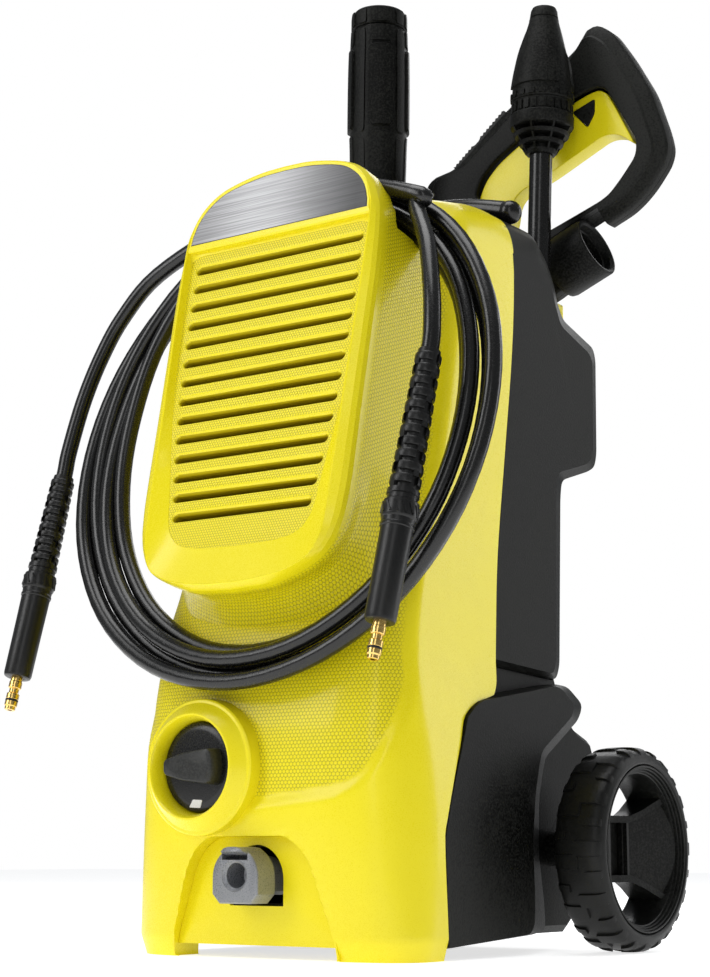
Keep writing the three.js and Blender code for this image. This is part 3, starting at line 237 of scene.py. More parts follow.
def merged(*parts):
    """Puts several meshes into one."""
    whole = bmesh.new()
    for bm in parts:
        mesh = bpy.data.meshes.new("part")
        bm.to_mesh(mesh)
        bm.free()
        whole.from_mesh(mesh)
        bpy.data.meshes.remove(mesh)
    return whole


def spun(degrees, axis):
    return Matrix.Rotation(math.radians(degrees), 4, axis)


def moved(bm, matrix):
    bmesh.ops.transform(bm, matrix=matrix, verts=bm.verts)
    return bm


def combined(bm, tool, how="DIFFERENCE"):
    """Cuts, joins or keeps what two closed meshes share."""
    whole, other = placed(bm, "work"), placed(tool, "work")
    step = whole.modifiers.new("step", "BOOLEAN")
    step.operation = how
    step.object = other
    step.solver = "EXACT"
    seen = whole.evaluated_get(bpy.context.evaluated_depsgraph_get())
    result = bpy.data.meshes.new_from_object(seen)
    out = bmesh.new()
    out.from_mesh(result)
    used = [whole.data, other.data, result]
    for obj in (whole, other):
        bpy.data.objects.remove(obj)
    for mesh in used:
        bpy.data.meshes.remove(mesh)
    return out


def along(pairs, place):
    """Reads a smooth value off a table of (place, value)."""
    if place <= pairs[0][0]:
        return pairs[0][1]
    for i in range(len(pairs) - 1):
        (a, low), (b, high) = pairs[i], pairs[i + 1]
        if place <= b:
            before = pairs[i - 1] if i else (2 * a - b, 2 * low - high)
            after = pairs[i + 2] if i + 2 < len(pairs) else (2 * b - a, 2 * high - low)
            t = (place - a) / (b - a)
            leave = (high - before[1]) / (b - before[0]) * (b - a)
            arrive = (after[1] - low) / (after[0] - a) * (b - a)
            return (
                (2 * t**3 - 3 * t**2 + 1) * low + (t**3 - 2 * t**2 + t) * leave
                + (3 * t**2 - 2 * t**3) * high + (t**3 - t**2) * arrive
            )
    return pairs[-1][1]


def eased(low, high, x):
    t = min(1, max(0, (x - low) / (high - low)))
    return t * t * (3 - 2 * t)


def smooth_line(points, between=6):
    """A smooth line through points, with more points between them."""
    pts = [Vector(p) for p in points]
    line = []
    for i in range(len(pts) - 1):
        a, b = pts[i], pts[i + 1]
        before = pts[i - 1] if i else 2 * a - b
        after = pts[i + 2] if i + 2 < len(pts) else 2 * b - a
        for k in range(between):
            t = k / between
            line.append(0.5 * (
                2 * a + (b - before) * t + (2 * before - 5 * a + 4 * b - after) * t * t
                + (3 * a - before - 3 * b + after) * t**3
            ))
    return line + [pts[-1]]


def rounded_outline(points, radius, steps=4):
    """Rounds each corner of a flat outline with a short arc."""
    out = []
    count = len(points)
    for i in range(count):
        p = Vector(points[i][:2])
        a = Vector(points[i - 1][:2]) - p
        b = Vector(points[(i + 1) % count][:2]) - p
        reach = min(radius, a.length * 0.45, b.length * 0.45)
        first, last = p + a.normalized() * reach, p + b.normalized() * reach
        for k in range(steps + 1):
            t = k / steps
            out.append((first * (1 - t) ** 2 + p * 2 * t * (1 - t) + last * t * t)[:])
    return out


def resampled(points, count):
    """The same closed outline with count points, evenly spread from its first one."""
    pts = [Vector(p) for p in points]
    pts.append(pts[0])
    lengths = [0]
    for a, b in zip(pts, pts[1:]):
        lengths.append(lengths[-1] + (b - a).length)
    out, k = [], 0
    for i in range(count):
        want = lengths[-1] * i / count
        while lengths[k + 1] < want:
            k += 1
        share = (want - lengths[k]) / max(1e-9, lengths[k + 1] - lengths[k])
        out.append(pts[k].lerp(pts[k + 1], share))
    return out


def close_holes(bm):
    bmesh.ops.holes_fill(bm, edges=[e for e in bm.edges if e.is_boundary], sides=0)


def lofted(rings, endless=False):
    """Joins closed outlines of equal count into a solid with flat ends, or into an endless ring."""
    bm = bmesh.new()
    loops = []
    for ring in rings:
        corners = [bm.verts.new(p) for p in ring]
        loops.append([bm.edges.new(pair) for pair in zip(corners, corners[1:] + corners[:1])])
    for a, b in zip(loops, loops[1:] + loops[:1] if endless else loops[1:]):
        bmesh.ops.bridge_loops(bm, edges=a + b)
    if not endless:
        close_holes(bm)
    return tidy(bm, 0.0001)


def joined(first, *others):
    for each in others:
        first = combined(first, each, "UNION")
    return first


def softened(bm, width, segments=3, angle=40):
    """Rounds a solid's sharp edges, in millimetres."""
    edges = [e for e in bm.edges if len(e.link_faces) == 2 and e.calc_face_angle(0) > math.radians(angle)]
    bmesh.ops.bevel(
        bm, geom=edges, offset=width, segments=segments, affect="EDGES", profile=0.5, material=-1,
        clamp_overlap=True,
    )
    return bm


def pad(columns, rows, where, thickness=1.2):
    """A raised pad: where(u, v, out) places it, u and v from -1 to 1, and out is 0 on its sunk border."""
    bm = bmesh.new()
    bmesh.ops.create_grid(bm, x_segments=columns, y_segments=rows, size=1)
    for v in bm.verts:
        u, w = (math.copysign(1 - (1 - min(1, abs(c))) ** 1.7, c) for c in v.co[:2])
        out = 0 if max(abs(u), abs(w)) > 0.9999 else 1
        v.co = where(u * (1 - 0.12 * w**8), w * (1 - 0.12 * u**8), out)
    bm.normal_update()
    if sum((f.normal for f in bm.faces), Vector()).dot(where(0, 0, 1) - where(0, 0, 0)) < 0:
        bmesh.ops.reverse_faces(bm, faces=bm.faces[:])
    bmesh.ops.solidify(bm, geom=bm.faces[:], thickness=thickness)
    return bm


# ---------------------------------------------------------------- finishes


def node_group(name, inputs, outputs):
    """A group with its given and its put-out ends; an input without a number is a vector."""
    group = bpy.data.node_groups.new(name, "ShaderNodeTree")
    for label, value in inputs.items():
        kind = "NodeSocketVector" if value is None else "NodeSocketFloat"
        socket = group.interface.new_socket(label, in_out="INPUT", socket_type=kind)
        if value is not None:
            socket.default_value = value
    for label in outputs:
        group.interface.new_socket(label, in_out="OUTPUT", socket_type="NodeSocketFloat")
    return group, group.nodes.new("NodeGroupInput"), group.nodes.new("NodeGroupOutput")


def sums(tree, how, *values):
    return add(tree, "Math", dict(enumerate(values)), operation=how).outputs[0]


def ranged(tree, value, given=(0, 1), wanted=(0, 1), **traits):
    """A value that runs from one range to another."""
    ends = {"From Min": given[0], "From Max": given[1], "To Min": wanted[0], "To Max": wanted[1]}
    return add(tree, "MapRange", {"Value": value, **ends}, **traits).outputs[0]


def multiplied(tree, colour, shade):
    return add(tree, "Mix", {0: 1.0, 6: colour, 7: shade}, data_type="RGBA", blend_type="MULTIPLY").outputs[2]


def noise(tree, vector, scale, detail):
    values = {"Detail": detail, "Roughness": 0.55, "Scale": scale, "Vector": vector}
    return add(tree, "TexNoise", values).outputs[0]


TONE_SPAN = (0.3, 0.7)  # what the noise covers, spread out to 0 and 1


def moulded_grain():
    """Fine spark-eroded grain of a moulded part, and its slow change of tone."""
    group, given, out = node_group("moulded grain", {"Vector": None, "Fineness": 900.0}, ["Height", "Tone"])
    fine = noise(group, given.outputs["Vector"], given.outputs["Fineness"], 2)
    slow = noise(group, given.outputs["Vector"], 9.0, 4)
    mix = sums(group, "ADD", sums(group, "MULTIPLY", slow, 0.4), sums(group, "MULTIPLY", fine, 0.6))
    fill(group, out, {"Height": fine, "Tone": ranged(group, mix, TONE_SPAN)})
    return group


def dot_lattice():
    """Small raised dots in offset rows; the map is in metres."""
    group, given, out = node_group("dot lattice", {"Vector": None, "Pitch": 0.0024}, ["Height", "Mask"])

    def maths(how, *values):
        return sums(group, how, *values)

    split = add(group, "SeparateXYZ", {0: given.outputs["Vector"]}).outputs
    pitch = given.outputs["Pitch"]
    across = maths("DIVIDE", split[0], pitch)
    up = maths("DIVIDE", split[1], maths("MULTIPLY", pitch, 0.8))
    across = maths("ADD", across, maths("MULTIPLY", maths("FLOOR", up), 0.5))
    dx = maths("SUBTRACT", maths("FRACT", across), 0.5)
    dy = maths("MULTIPLY", maths("SUBTRACT", maths("FRACT", up), 0.5), 0.85)
    reach = maths("SQRT", maths("ADD", maths("MULTIPLY", dx, dx), maths("MULTIPLY", dy, dy)))
    dot = ranged(group, reach, (0.50, 0.32), interpolation_type="SMOOTHSTEP")
    fill(group, out, {"Height": dot, "Mask": dot})
    return group


GRAIN = moulded_grain()
LATTICE = dot_lattice()
BY_SLOT = {}  # each slot's main finish


def painted_reflection_ramp(tree, coordinates, colour, fade):
    """A painted reflection: a colour that darkens along x; fade is a list of (x in metres, share of the
    tone).
    """
    split = add(tree, "SeparateXYZ", {0: coordinates})
    start, end = fade[0][0], fade[-1][0]
    ramp = add(tree, "ValToRGB", {0: ranged(tree, split.outputs[0], (start, end))})
    ramp.color_ramp.interpolation = "B_SPLINE"
    stops = ramp.color_ramp.elements
    while len(stops) < len(fade):
        stops.new(0.5)
    for stop, (x, share) in zip(stops, fade):
        stop.position = (x - start) / (end - start)
        stop.color = (share, share, share, 1)
    return multiplied(tree, colour, ramp.outputs[0])


def finish(slot, name, light, dark, roughness, grain=900.0, relief=0.12, metal=0.0, coat=0.0, lattice=None,
           specular=0.5, stretch=None, fade=None):
    """Two near tones and fine grain.

    A lattice is (map, turn in degrees, pitch in metres, relief, painted shade between the dots, whether it
    keeps to marked points)."""
    mat = bpy.data.materials.new(name)
    mat.use_nodes = True
    tree = mat.node_tree
    where = add(tree, "TexCoord").outputs
    place = where["Object"]
    if stretch:
        place = add(tree, "Mapping", {"Scale": stretch, "Vector": place}).outputs[0]
    body = add(tree, "Group", {"Fineness": grain, "Vector": place}, node_tree=GRAIN).outputs
    tones = add(tree, "ValToRGB", {0: body["Tone"]})
    for stop, spot, tone in zip(tones.color_ramp.elements, TONE_SPAN, (dark, light)):
        stop.position = spot
        stop.color = (*tone, 1)
    colour = tones.outputs[0]
    # a fade darkens the colour along x: a painted reflection
    if fade:
        colour = painted_reflection_ramp(tree, where["Object"], colour, fade)
    rough = ranged(tree, body["Tone"], TONE_SPAN, (roughness - 0.05, roughness + 0.05))
    normal = add(tree, "Bump", {"Strength": relief, "Distance": 0.0004, "Height": body["Height"]}).outputs[0]
    if lattice:
        source, turned, pitch, raised, painted_gap_shade, marked = lattice
        turn = (math.radians(turned), 0, 0)
        lean = add(tree, "Mapping", {"Rotation": turn, "Vector": where[source]}).outputs[0]
        dots = add(tree, "Group", {"Pitch": pitch, "Vector": lean}, node_tree=LATTICE).outputs
        height, mask = dots["Height"], dots["Mask"]
        if marked:
            mark = add(tree, "Attribute", attribute_name="dotted").outputs["Fac"]
            height = sums(tree, "MULTIPLY", height, mark)
            gap = sums(tree, "MULTIPLY", sums(tree, "SUBTRACT", 1.0, mask), mark)
            mask = sums(tree, "SUBTRACT", 1.0, gap)
        values = {"Strength": raised, "Distance": 0.0005, "Height": height, "Normal": normal}
        normal = add(tree, "Bump", values).outputs[0]
        # painted shade: the gaps between the raised dots are darkened
        colour = multiplied(tree, colour, ranged(tree, mask, wanted=(painted_gap_shade, 1.0)))
    fill(tree, tree.nodes["Principled BSDF"], {
        "Base Color": colour, "Roughness": rough, "Metallic": metal, "Normal": normal,
        "Coat Weight": coat, "Coat Roughness": 0.08, "Specular IOR Level": specular,
    })
    BY_SLOT.setdefault(slot, mat)
    return mat


YELLOW_TONES = (0.86, 0.74, 0.010), (0.83, 0.705, 0.006)
SMOOTH_TONES = (0.0060, 0.0060, 0.0056), (0.0036, 0.0036, 0.0034)
YELLOW = finish("yellow_shell", "yellow moulding", *YELLOW_TONES, 0.30, 1100.0, 0.05, coat=0.12,
                specular=0.35)
YELLOW_DOTS = finish("yellow_shell", "yellow dotted moulding", *YELLOW_TONES, 0.30, 1100.0, 0.05, coat=0.12,
                     lattice=("UV", 0, 0.0034, 0.45, 0.58, True), specular=0.35)
YELLOW_GRILLE = finish("yellow_shell", "yellow dotted grille", *YELLOW_TONES, 0.34, 1100.0, 0.05,
                       lattice=("Object", -78.4, 0.0026, 0.40, 0.58, False), specular=0.35)
# painted shade: darker copies of the yellow for the slot walls, which stand in for the shade inside the slots
SLOT_SHADE = finish("yellow_shell", "yellow with painted shade in the slots", (0.50, 0.40, 0.005), (0.46, 0.36, 0.004),
                    0.5, 1100.0, 0.05, specular=0.1)
SLOT_DEEP_SHADE = finish("yellow_shell", "yellow with deeper painted shade in the slots", (0.36, 0.275, 0.004), (0.31, 0.235, 0.003),
                   0.6, 1100.0, 0.05, specular=0.05)
BLACK = finish("black_shell", "black grained moulding", (0.0135, 0.0139, 0.0122), (0.0013, 0.0014, 0.0011),
               0.48, 560.0, 0.5, specular=0.13)
BLACK_SMOOTH = finish("black_smooth", "black smooth moulding", *SMOOTH_TONES, 0.24, 700.0, 0.05, specular=0.4)
DIAL_GRIP = finish("black_smooth", "knob moulding", (0.026, 0.0265, 0.024), (0.012, 0.0122, 0.011),
                   0.38, 700.0, 0.3, specular=0.35)
PALE = finish("black_smooth", "pale mark", (0.78, 0.78, 0.76), (0.70, 0.70, 0.68), 0.4, 900.0, 0.02)
TYRE = finish("tyre", "tyre rubber", (0.0070, 0.0072, 0.0064), (0.0026, 0.0027, 0.0024),
              0.42, 700.0, 0.25, specular=0.24)
WHEEL = finish("wheel", "wheel moulding", (0.0150, 0.0155, 0.0138), (0.0030, 0.0031, 0.0028),
               0.42, 560.0, 0.3, specular=0.2)
HOSE = finish("hose", "hose rubber", (0.0042, 0.0042, 0.0040), (0.0034, 0.0034, 0.0032), 0.25, 700.0, 0.04)
RELIEF = finish("hose_relief", "relief rubber", *SMOOTH_TONES, 0.36, 700.0, 0.15, specular=0.4)
GRIP = finish("grip_rubber", "grip rubber", (0.0100, 0.0102, 0.0094), (0.0045, 0.0046, 0.0042),
              0.50, 900.0, 0.3, specular=0.3)
# the plate's fade is a painted reflection of the lamps: lightest a little left of its middle, darkest at its
# right end
PLATE = finish("plate", "brushed plate", (0.47, 0.47, 0.48), (0.28, 0.28, 0.285), 0.36, 900.0, 0.10,
               metal=0.9, stretch=(0.012, 1, 1),
               fade=[(-0.085, 0.55), (-0.04, 1.0), (0.0, 0.85), (0.035, 0.42), (0.08, 0.10)])
STEEL = finish("steel", "turned steel", (0.56, 0.57, 0.58), (0.46, 0.46, 0.47), 0.27, 600.0, 0.08, metal=1.0)
BRASS = finish("brass", "turned brass", (0.86, 0.60, 0.20), (0.74, 0.48, 0.13), 0.20, 500.0, 0.06, metal=1.0)
COUPLER = finish("coupler", "grey coupling moulding", (0.26, 0.267, 0.285), (0.20, 0.205, 0.22),
                 0.32, 900.0, 0.12, metal=0.35)
finish("aluminium", "cast aluminium", (0.66, 0.67, 0.68), (0.55, 0.56, 0.57), 0.42, 500.0, 0.25, metal=1.0)


def look_of(node):
    """The finish that stands for a node's own material."""
    return BY_SLOT.get(node.data.materials[0].name.split(".")[0] if node.data.materials else "", BLACK)


LOOKS = {name: look_of(obj) for name, obj in frame["nodes"].items()}
for name, obj in frame["nodes"].items():
    obj.data.materials.clear()
    obj.data.materials.append(LOOKS[name])
    obj.data.polygons.foreach_set("use_smooth", [True] * len(obj.data.polygons))

FLOOR = bpy.data.materials.new("studio floor")
FLOOR.use_nodes = True
fill(FLOOR.node_tree, FLOOR.node_tree.nodes["Principled BSDF"], {
    "Base Color": (0.95, 0.95, 0.95, 1), "Roughness": 0.6, "Specular IOR Level": 0.2,
    "Emission Color": (1, 1, 1, 1), "Emission Strength": 0.70,
})
floor_mesh = bmesh.new()
bmesh.ops.create_grid(floor_mesh, x_segments=1, y_segments=1, size=6)
floor = placed(floor_mesh, "studio_floor")
floor.data.materials.append(FLOOR)

# ---------------------------------------------------------------- the high-pressure hose

COIL = Vector((-4, -137.5, 418))
COIL_LEAN = math.radians(14)
HOSE_RADIUS = 7


def in_coil(angle, reach, ahead=0):
    """A point of the coil: angle in degrees from the right, reach from its middle."""
    u, v = reach * math.cos(math.radians(angle)), reach * math.sin(math.radians(angle))
    return COIL + Vector((
        u, v * math.sin(COIL_LEAN) - ahead * math.cos(COIL_LEAN),
        v * math.cos(COIL_LEAN) + ahead * math.sin(COIL_LEAN),
    ))


LEFT_GRIP = (Vector((-236, -141.1, 401.7)), Vector((-241, -185.5, 224)))
RIGHT_GRIP = (Vector((167, -168.5, 449.7)), Vector((159, -223, 241)))
TURN_REACH = [
    (-0.10, 224), (0, 218), (0.10, 214), (0.25, 206), (0.5, 216), (0.75, 207), (0.9, 211), (1, 211),
    (1.1, 205), (1.25, 195.5), (1.5, 207), (1.75, 193.6), (1.9, 203), (2, 204.5), (2.1, 198), (2.25, 185),
    (2.5, 198), (2.75, 180.2), (2.9, 196.5), (3, 198.5), (3.1, 192), (3.25, 174.5), (3.5, 189),
    (3.75, 166.8), (3.88, 188), (4, 203), (4.1, 219), (4.17, 221.5),
]


TURNS, STEPS_PER_TURN = 4.1, 16
COIL_START = -0.07  # turns past the top


def hose_route():
    left, right = LEFT_GRIP, RIGHT_GRIP
    route = [left[1].lerp(left[0], share) for share in (0, 0.33, 0.66, 1)]
    route += [Vector(p) for p in (
        (-235.6, -136, 425), (-231, -124, 472), (-220, -114, 513), (-203, -105, 549), (-171, -96, 584),
    )]
    count = int(TURNS * STEPS_PER_TURN) + 1
    for i in range(count + 1):
        t = COIL_START + (TURNS - COIL_START) * i / count
        ahead = 6.4 * max(-1, min(1, 1.8 * math.cos(math.pi * (t - 0.25)))) - 5
        ahead += 19 * eased(3.82, 4.08, t)
        route.append(in_coil(90 - 360 * t, along(TURN_REACH, t), ahead))
    route += [Vector(p) for p in (
        (118, -113, 588), (142, -134, 548), (158, -152, 505), (165, -162, 475),
    )]
    route += [right[0].lerp(right[1], share) for share in (0, 0.33, 0.66, 1)]
    return route


def line_length(points):
    return sum((b - a).length for a, b in zip(points, points[1:]))


def hose_piece(points, name, material):
    curve = bpy.data.curves.new(name, "CURVE")
    curve.dimensions = "3D"
    curve.bevel_depth = HOSE_RADIUS * INTO_METRES
    curve.bevel_resolution = 5
    curve.use_fill_caps = True
    spline = curve.splines.new("POLY")
    spline.points.add(len(points) - 1)
    for spot, p in zip(spline.points, points):
        spot.co = (*(p * INTO_METRES), 1)
    spline.use_smooth = True
    curve.materials.append(material)
    obj = bpy.data.objects.new(name, curve)
    scene.collection.objects.link(obj)
    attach(obj, "root")
    return obj


hose_line = smooth_line(hose_route(), 5)
hose = hose_piece(hose_line, "pressure_hose", HOSE)


RELIEF_ROWS, RING_MARKS = 11, 14


def relief_form(reach):
    """The sleeve with its rows of ribs and ties, and the marked ring above its foot."""
    ring_at = reach - 92
    parts = [lathe([
        (HOSE_RADIUS + 0.1, 0), (8.6, 0.4), (8.8, 3), (9.2, ring_at - 10), (12.2, ring_at - 9),
        (12.4, ring_at - 5), (11.4, ring_at - 4.4), (11.4, ring_at - 1), (13.4, ring_at + 0.5),
        (13.7, ring_at + 2.5), (13.7, ring_at + 11.5), (13.4, ring_at + 13.2), (12.7, ring_at + 14),
        (12.4, ring_at + 17.5), (12.9, ring_at + 18.3), (12.9, ring_at + 20.3), (12.2, ring_at + 21),
        (11.9, ring_at + 50), (11.7, reach - 3), (11, reach - 0.6), (10, reach), (5.2, reach),
        (5.2, reach - 6), (0, reach - 6),
    ], 40)]
    gap = (ring_at - 14) / RELIEF_ROWS
    for row in range(RELIEF_ROWS):
        low = 4 + gap * row
        grow = 9.8 + 1.9 * row / RELIEF_ROWS
        offset = 90 * (row % 2)
        for turn in (0, 180):
            arc = lathe([
                (8, low), (grow, low + 0.5), (grow + 0.35, low + 1.2), (grow + 0.35, low + gap * 0.6),
                (grow, low + gap * 0.68), (8, low + gap * 0.72),
            ], 16, angle=150, start=turn + 15 + offset)
            close_holes(arc)
            parts.append(tidy(arc))
        for turn in (90, 270):
            tie = block((8, -2.2, low + gap * 0.5), (grow + 0.2, 2.2, low + gap * 1.1))
            parts.append(moved(tie, spun(turn + offset, "Z")))
    for k in range(RING_MARKS):
        mark = moved(block((13.2, -0.7, -4.6), (14.2, 0.7, 4.6)), spun(28, "X"))
        mark = moved(mark, Matrix.Translation((0, 0, ring_at + 7)))
        parts.append(moved(mark, Matrix.Rotation(2 * math.pi * k / RING_MARKS, 4, "Z")))
    return merged(*parts)


NIPPLE = [
    (0, -5.5), (4.9, -5.5), (4.9, 3.5), (5.4, 4), (5.4, 9), (4.9, 9.6), (4, 9.9), (4, 13.3), (4.6, 13.8),
    (5.3, 14.3), (5.3, 18.6), (4.9, 19.1), (4.9, 20.4), (5.3, 20.9), (5.3, 24.4), (4.5, 25.4), (4.4, 27.8),
    (3.9, 28.2), (2, 28.2), (2, 12), (0, 12),
]
SEAL = [(4, 19), (5, 18.7), (5.45, 19.3), (5.45, 20.3), (5, 20.8), (4, 20.6), (4, 19)]


def hose_end(side, grip):
    """The relief, its brass nipple and the seal on that, at one end of the hose."""
    top, foot = grip
    reach = (foot - top).length
    turn = Vector((0, 0, 1)).rotation_difference((foot - top).normalized())
    place = Matrix.Translation(top) @ turn.to_matrix().to_4x4()
    relief = piece(moved(relief_form(reach), place), f"relief_{side}", RELIEF, f"hose_grip_{side}")
    brass = lathe([(r, h + reach) for r, h in NIPPLE], 32)
    nipple = piece(moved(brass, place), f"nipple_{side}", BRASS, f"hose_nipple_{side}")
    seal = lathe(SEAL, 32)
    bmesh.ops.translate(seal, vec=(0, 0, reach), verts=seal.verts)
    return relief, nipple, piece(moved(seal, place), f"seal_{side}", RELIEF)


ends = hose_end("left", LEFT_GRIP) + hose_end("right", RIGHT_GRIP)
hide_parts("hose_coil", *[n for n in frame["nodes"] if n.startswith("hose_tail_")])
hose_length = round(line_length(hose_line))
print("hose length", hose_length, "mm")

# ---------------------------------------------------------------- front cover

# by height: how far the sides flare, and y of the face's middle, of its corners and of the parting line
FLARE = [(0, 1), (60, 0.96), (120, 0.84), (196, 0.5), (233, 0.26), (280, 0.09), (330, 0), (420, 0)]
FRONT_LINE = [
    (0, -167), (16, -170), (60, -174), (145, -176), (175, -174), (205, -169.5), (235, -163.5), (262, -156),
    (300, -138), (330, -128), (450, -103), (560, -80), (590, -70), (604, -52),
]
CORNER_LINE = [
    (0, -125), (14, -123), (57, -116), (97, -113.5), (121, -113.5), (153, -116.5), (195, -124), (235, -125),
    (262, -120), (290, -112), (330, -98), (362, -87), (450, -63), (560, -42), (590, -32), (604, -15),
]
PARTING = [
    (-20, -106), (5, -106), (90, -108), (109, -102), (133, -92), (164, -78), (183, -70), (192, -58),
    (197, -47), (203, -24), (233, -15), (314.6, -3.6), (408.7, 11.2), (497, 24.6), (559, 29.4), (585, 27),
    (604, 22), (640, 20),
]
BODY_TOP = 604
SHOULDER = 35
# how far the top is crowned, by the distance from the middle, in front and behind
RISE = [(0, 42), (40, 38.5), (63, 32), (85, 24.5), (100, 20), (106, 19), (114, 20), (121.5, 18)]
RISE_BEHIND = [(0, 29), (40, 27), (70, 21.5), (85, 18.5), (98, 18.5), (106, 19), (114, 20), (121.5, 18)]


def crowned(x, y, z):
    """Height of a point on the body's top, which is crowned, and lower behind where the handle lies."""
    front = along(RISE, abs(x)) * (0.55 + 0.45 * eased(-55, 20, y))
    behind = along(RISE_BEHIND, abs(x)) * (1 - eased(70, 112, y))
    share = eased(34, 41, y)
    return z + (front * (1 - share) + behind * share) * eased(525, 590, z)


def half_width(z):
    drop = 0
    if z > BODY_TOP - SHOULDER:
        drop = SHOULDER - math.sqrt(max(0, SHOULDER**2 - (z - BODY_TOP + SHOULDER) ** 2))
    return 121.5 + 17.5 * along(FLARE, z) - drop


def front_y(x, z):
    """Where the front cover's face lies; round at the sides, so that it meets them smoothly."""
    share = min(1, abs(x) / half_width(z))
    face, side = along(FRONT_LINE, z), along(CORNER_LINE, z)
    return side - (side - face) * (1 - share**5) ** 0.5


def girth(x, z, steps=24):
    """Distance round the front from its middle to x."""
    lengths, last = 0, None
    for i in range(steps + 1):
        p = Vector((x * i / steps, front_y(x * i / steps, z)))
        lengths += (p - last).length if last else 0
        last = p
    return lengths


INSET_EDGE = [
    (0, 121), (51, 126), (78, 129.5), (94, 134), (102.4, 140.5), (110, 150.3), (115.5, 162), (121, 178),
    (124, 192), (125, 207), (123.5, 223), (121, 257), (118.5, 302), (117.8, 357), (117.4, 560),
]
INSET_BORDER = [
    (0, 112), (42, 115.5), (81, 119.8), (93, 124.5), (104.5, 132), (114.5, 145.8), (123, 165), (127.6, 182),
    (129, 199), (126.7, 224), (124.2, 258), (121.8, 304), (121.1, 359), (120.9, 560),
]
INSET_DEPTH = 3.4
INSET_TOP = 560
FADE_FROM, FADE_TO = 515, 558  # the heights between which the inset runs out
FRONT_SHARE = 0.70  # how much of the sheet's width is the face, up to its corner
FACE_STEPS = 60
WALL_END, BEND_END = 0.78, 0.94  # shares of the sheet's rows up to the shoulder, and to its top
BEND_SPAN, CAP_SPAN = 0.16, 0.06
WALL = 3
FOOT_BEVEL = 16


def round_front(points):
    return [Vector((girth(x, z), z)) for x, z in points]


def side_of(line, p):
    """Distance from a flat line of points, positive on its inner, upper side."""
    best, sign = 1e9, 1
    for a, b in zip(line, line[1:]):
        run = b - a
        t = max(0, min(1, (p - a).dot(run) / run.length_squared))
        away = p - (a + run * t)
        if away.length < best:
            best = away.length
            sign = 1 if run.x * away.y - run.y * away.x > 0 else -1
    return best * sign


@cache
def face_row(z):
    """Half of the face at one height, and how far along it each of its points lies."""
    half = half_width(z)
    xs = [half * math.sin(math.pi / 2 * i / FACE_STEPS) for i in range(FACE_STEPS + 1)]
    line = [Vector((x, front_y(x, z))) for x in xs]
    run = [0]
    for p, q in zip(line, line[1:]):
        run.append(run[-1] + (q - p).length)
    return line, run


def cover_level(b):
    """The height of a row, and how far it has come over the top."""
    low = BODY_TOP - SHOULDER
    if b < WALL_END:
        return low * b / WALL_END, 0
    if b < BEND_END:
        return low + SHOULDER * math.sin((b - WALL_END) / BEND_SPAN * math.pi / 2), 0
    return BODY_TOP, (b - BEND_END) / CAP_SPAN


def face_point(z, share):
    """A point of the front and side, the way out of it, and its distance round from the middle."""
    line, run = face_row(round(z, 4))
    if share <= 1:
        want = run[-1] * share
        k = 0
        while k < len(run) - 2 and run[k + 1] < want:
            k += 1
        p = line[k].lerp(line[k + 1], (want - run[k]) / (run[k + 1] - run[k]))
        return p, Vector((line[k + 1].y - line[k].y, -(line[k + 1].x - line[k].x))).normalized(), want
    back = (share - 1) / (1 / FRONT_SHARE - 1)
    start = line[-1]
    p = Vector((start.x, start.y + (along(PARTING, z) - start.y) * back))
    return p, Vector((1, 0)), run[-1] + (p.y - start.y)


def front_cover():
    edge, border = round_front(INSET_EDGE), round_front(INSET_BORDER)

    def place(a, b):
        z, cap = cover_level(b)
        across = 2 * a - 1
        side = 1 if across >= 0 else -1
        p, out, reach = face_point(z, abs(across) / FRONT_SHARE)
        spot = Vector((reach, z))
        deep = dotted = 0
        if z < INSET_TOP and abs(reach - 60) < 150:
            inner, outer = side_of(edge, spot), side_of(border, spot)
            if inner >= 0:
                deep = 1
            elif outer > 0:
                deep = outer / (outer - inner)
            fade = 1 - eased(FADE_FROM, FADE_TO, z)
            deep, dotted = deep * fade, eased(-0.6, 1.4, inner) * fade
        lip = 0
        arch = arch_reach(p.x, z)
        if 0 <= arch < 4:
            lip = 1.6 * (1 - arch / 4) ** 2
        p = p - out * (INSET_DEPTH * deep) + Vector((0, lip))
        if z < FOOT_BEVEL:
            p = p - out * (0.3 * (FOOT_BEVEL - z))
        y = p.y + (along(PARTING, BODY_TOP) - p.y) * cap
        return (p.x * side, y, crowned(p.x, y, z)), (reach * side, z), dotted

    bm = shaped_sheet(130, 230, place)
    bmesh.ops.remove_doubles(bm, verts=bm.verts, dist=0.02)
    return bm


ARCH_TOP, ARCH_HALF = 92, 51


def arch_outline(grow):
    half, top = ARCH_HALF + grow, ARCH_TOP + grow
    right = [(half - 14, top), (half, top - 9), (half + 9, top - 22), (78 + grow, 16), (79 + grow, -5)]
    return rounded_outline([(-x, z) for x, z in reversed(right)] + right, 20, 8)


ARCH = [Vector(p) for p in arch_outline(0)]


def arch_reach(x, z):
    """Distance outside the arch over the outlet; negative inside it."""
    best, inside = 1e9, False
    if z > 110 or abs(x) > 90:
        return 99
    for a, b in zip(ARCH, ARCH[1:] + ARCH[:1]):
        run = b - a
        p = Vector((x, z))
        t = max(0, min(1, (p - a).dot(run) / max(1e-9, run.length_squared)))
        best = min(best, (p - (a + run * t)).length)
        if (a.y > z) != (b.y > z) and x < a.x + (z - a.y) / (b.y - a.y) * (b.x - a.x):
            inside = not inside
    return -best if inside else best


def upright(points, front, back):
    """A prism along y from an outline in x and z."""
    return prism(points, front, back, lambda a, b, c: (a, c, b))


def round_rod(radius, start, end, steps=32):
    a, b = Vector(start), Vector(end)
    return lathe([(0, 0), (radius, 0), (radius, (b - a).length), (0, (b - a).length)], steps, a, b - a)


KNOB, KNOB_HOLE = (-42, 145), 46
OUTLET_Z = 62.5


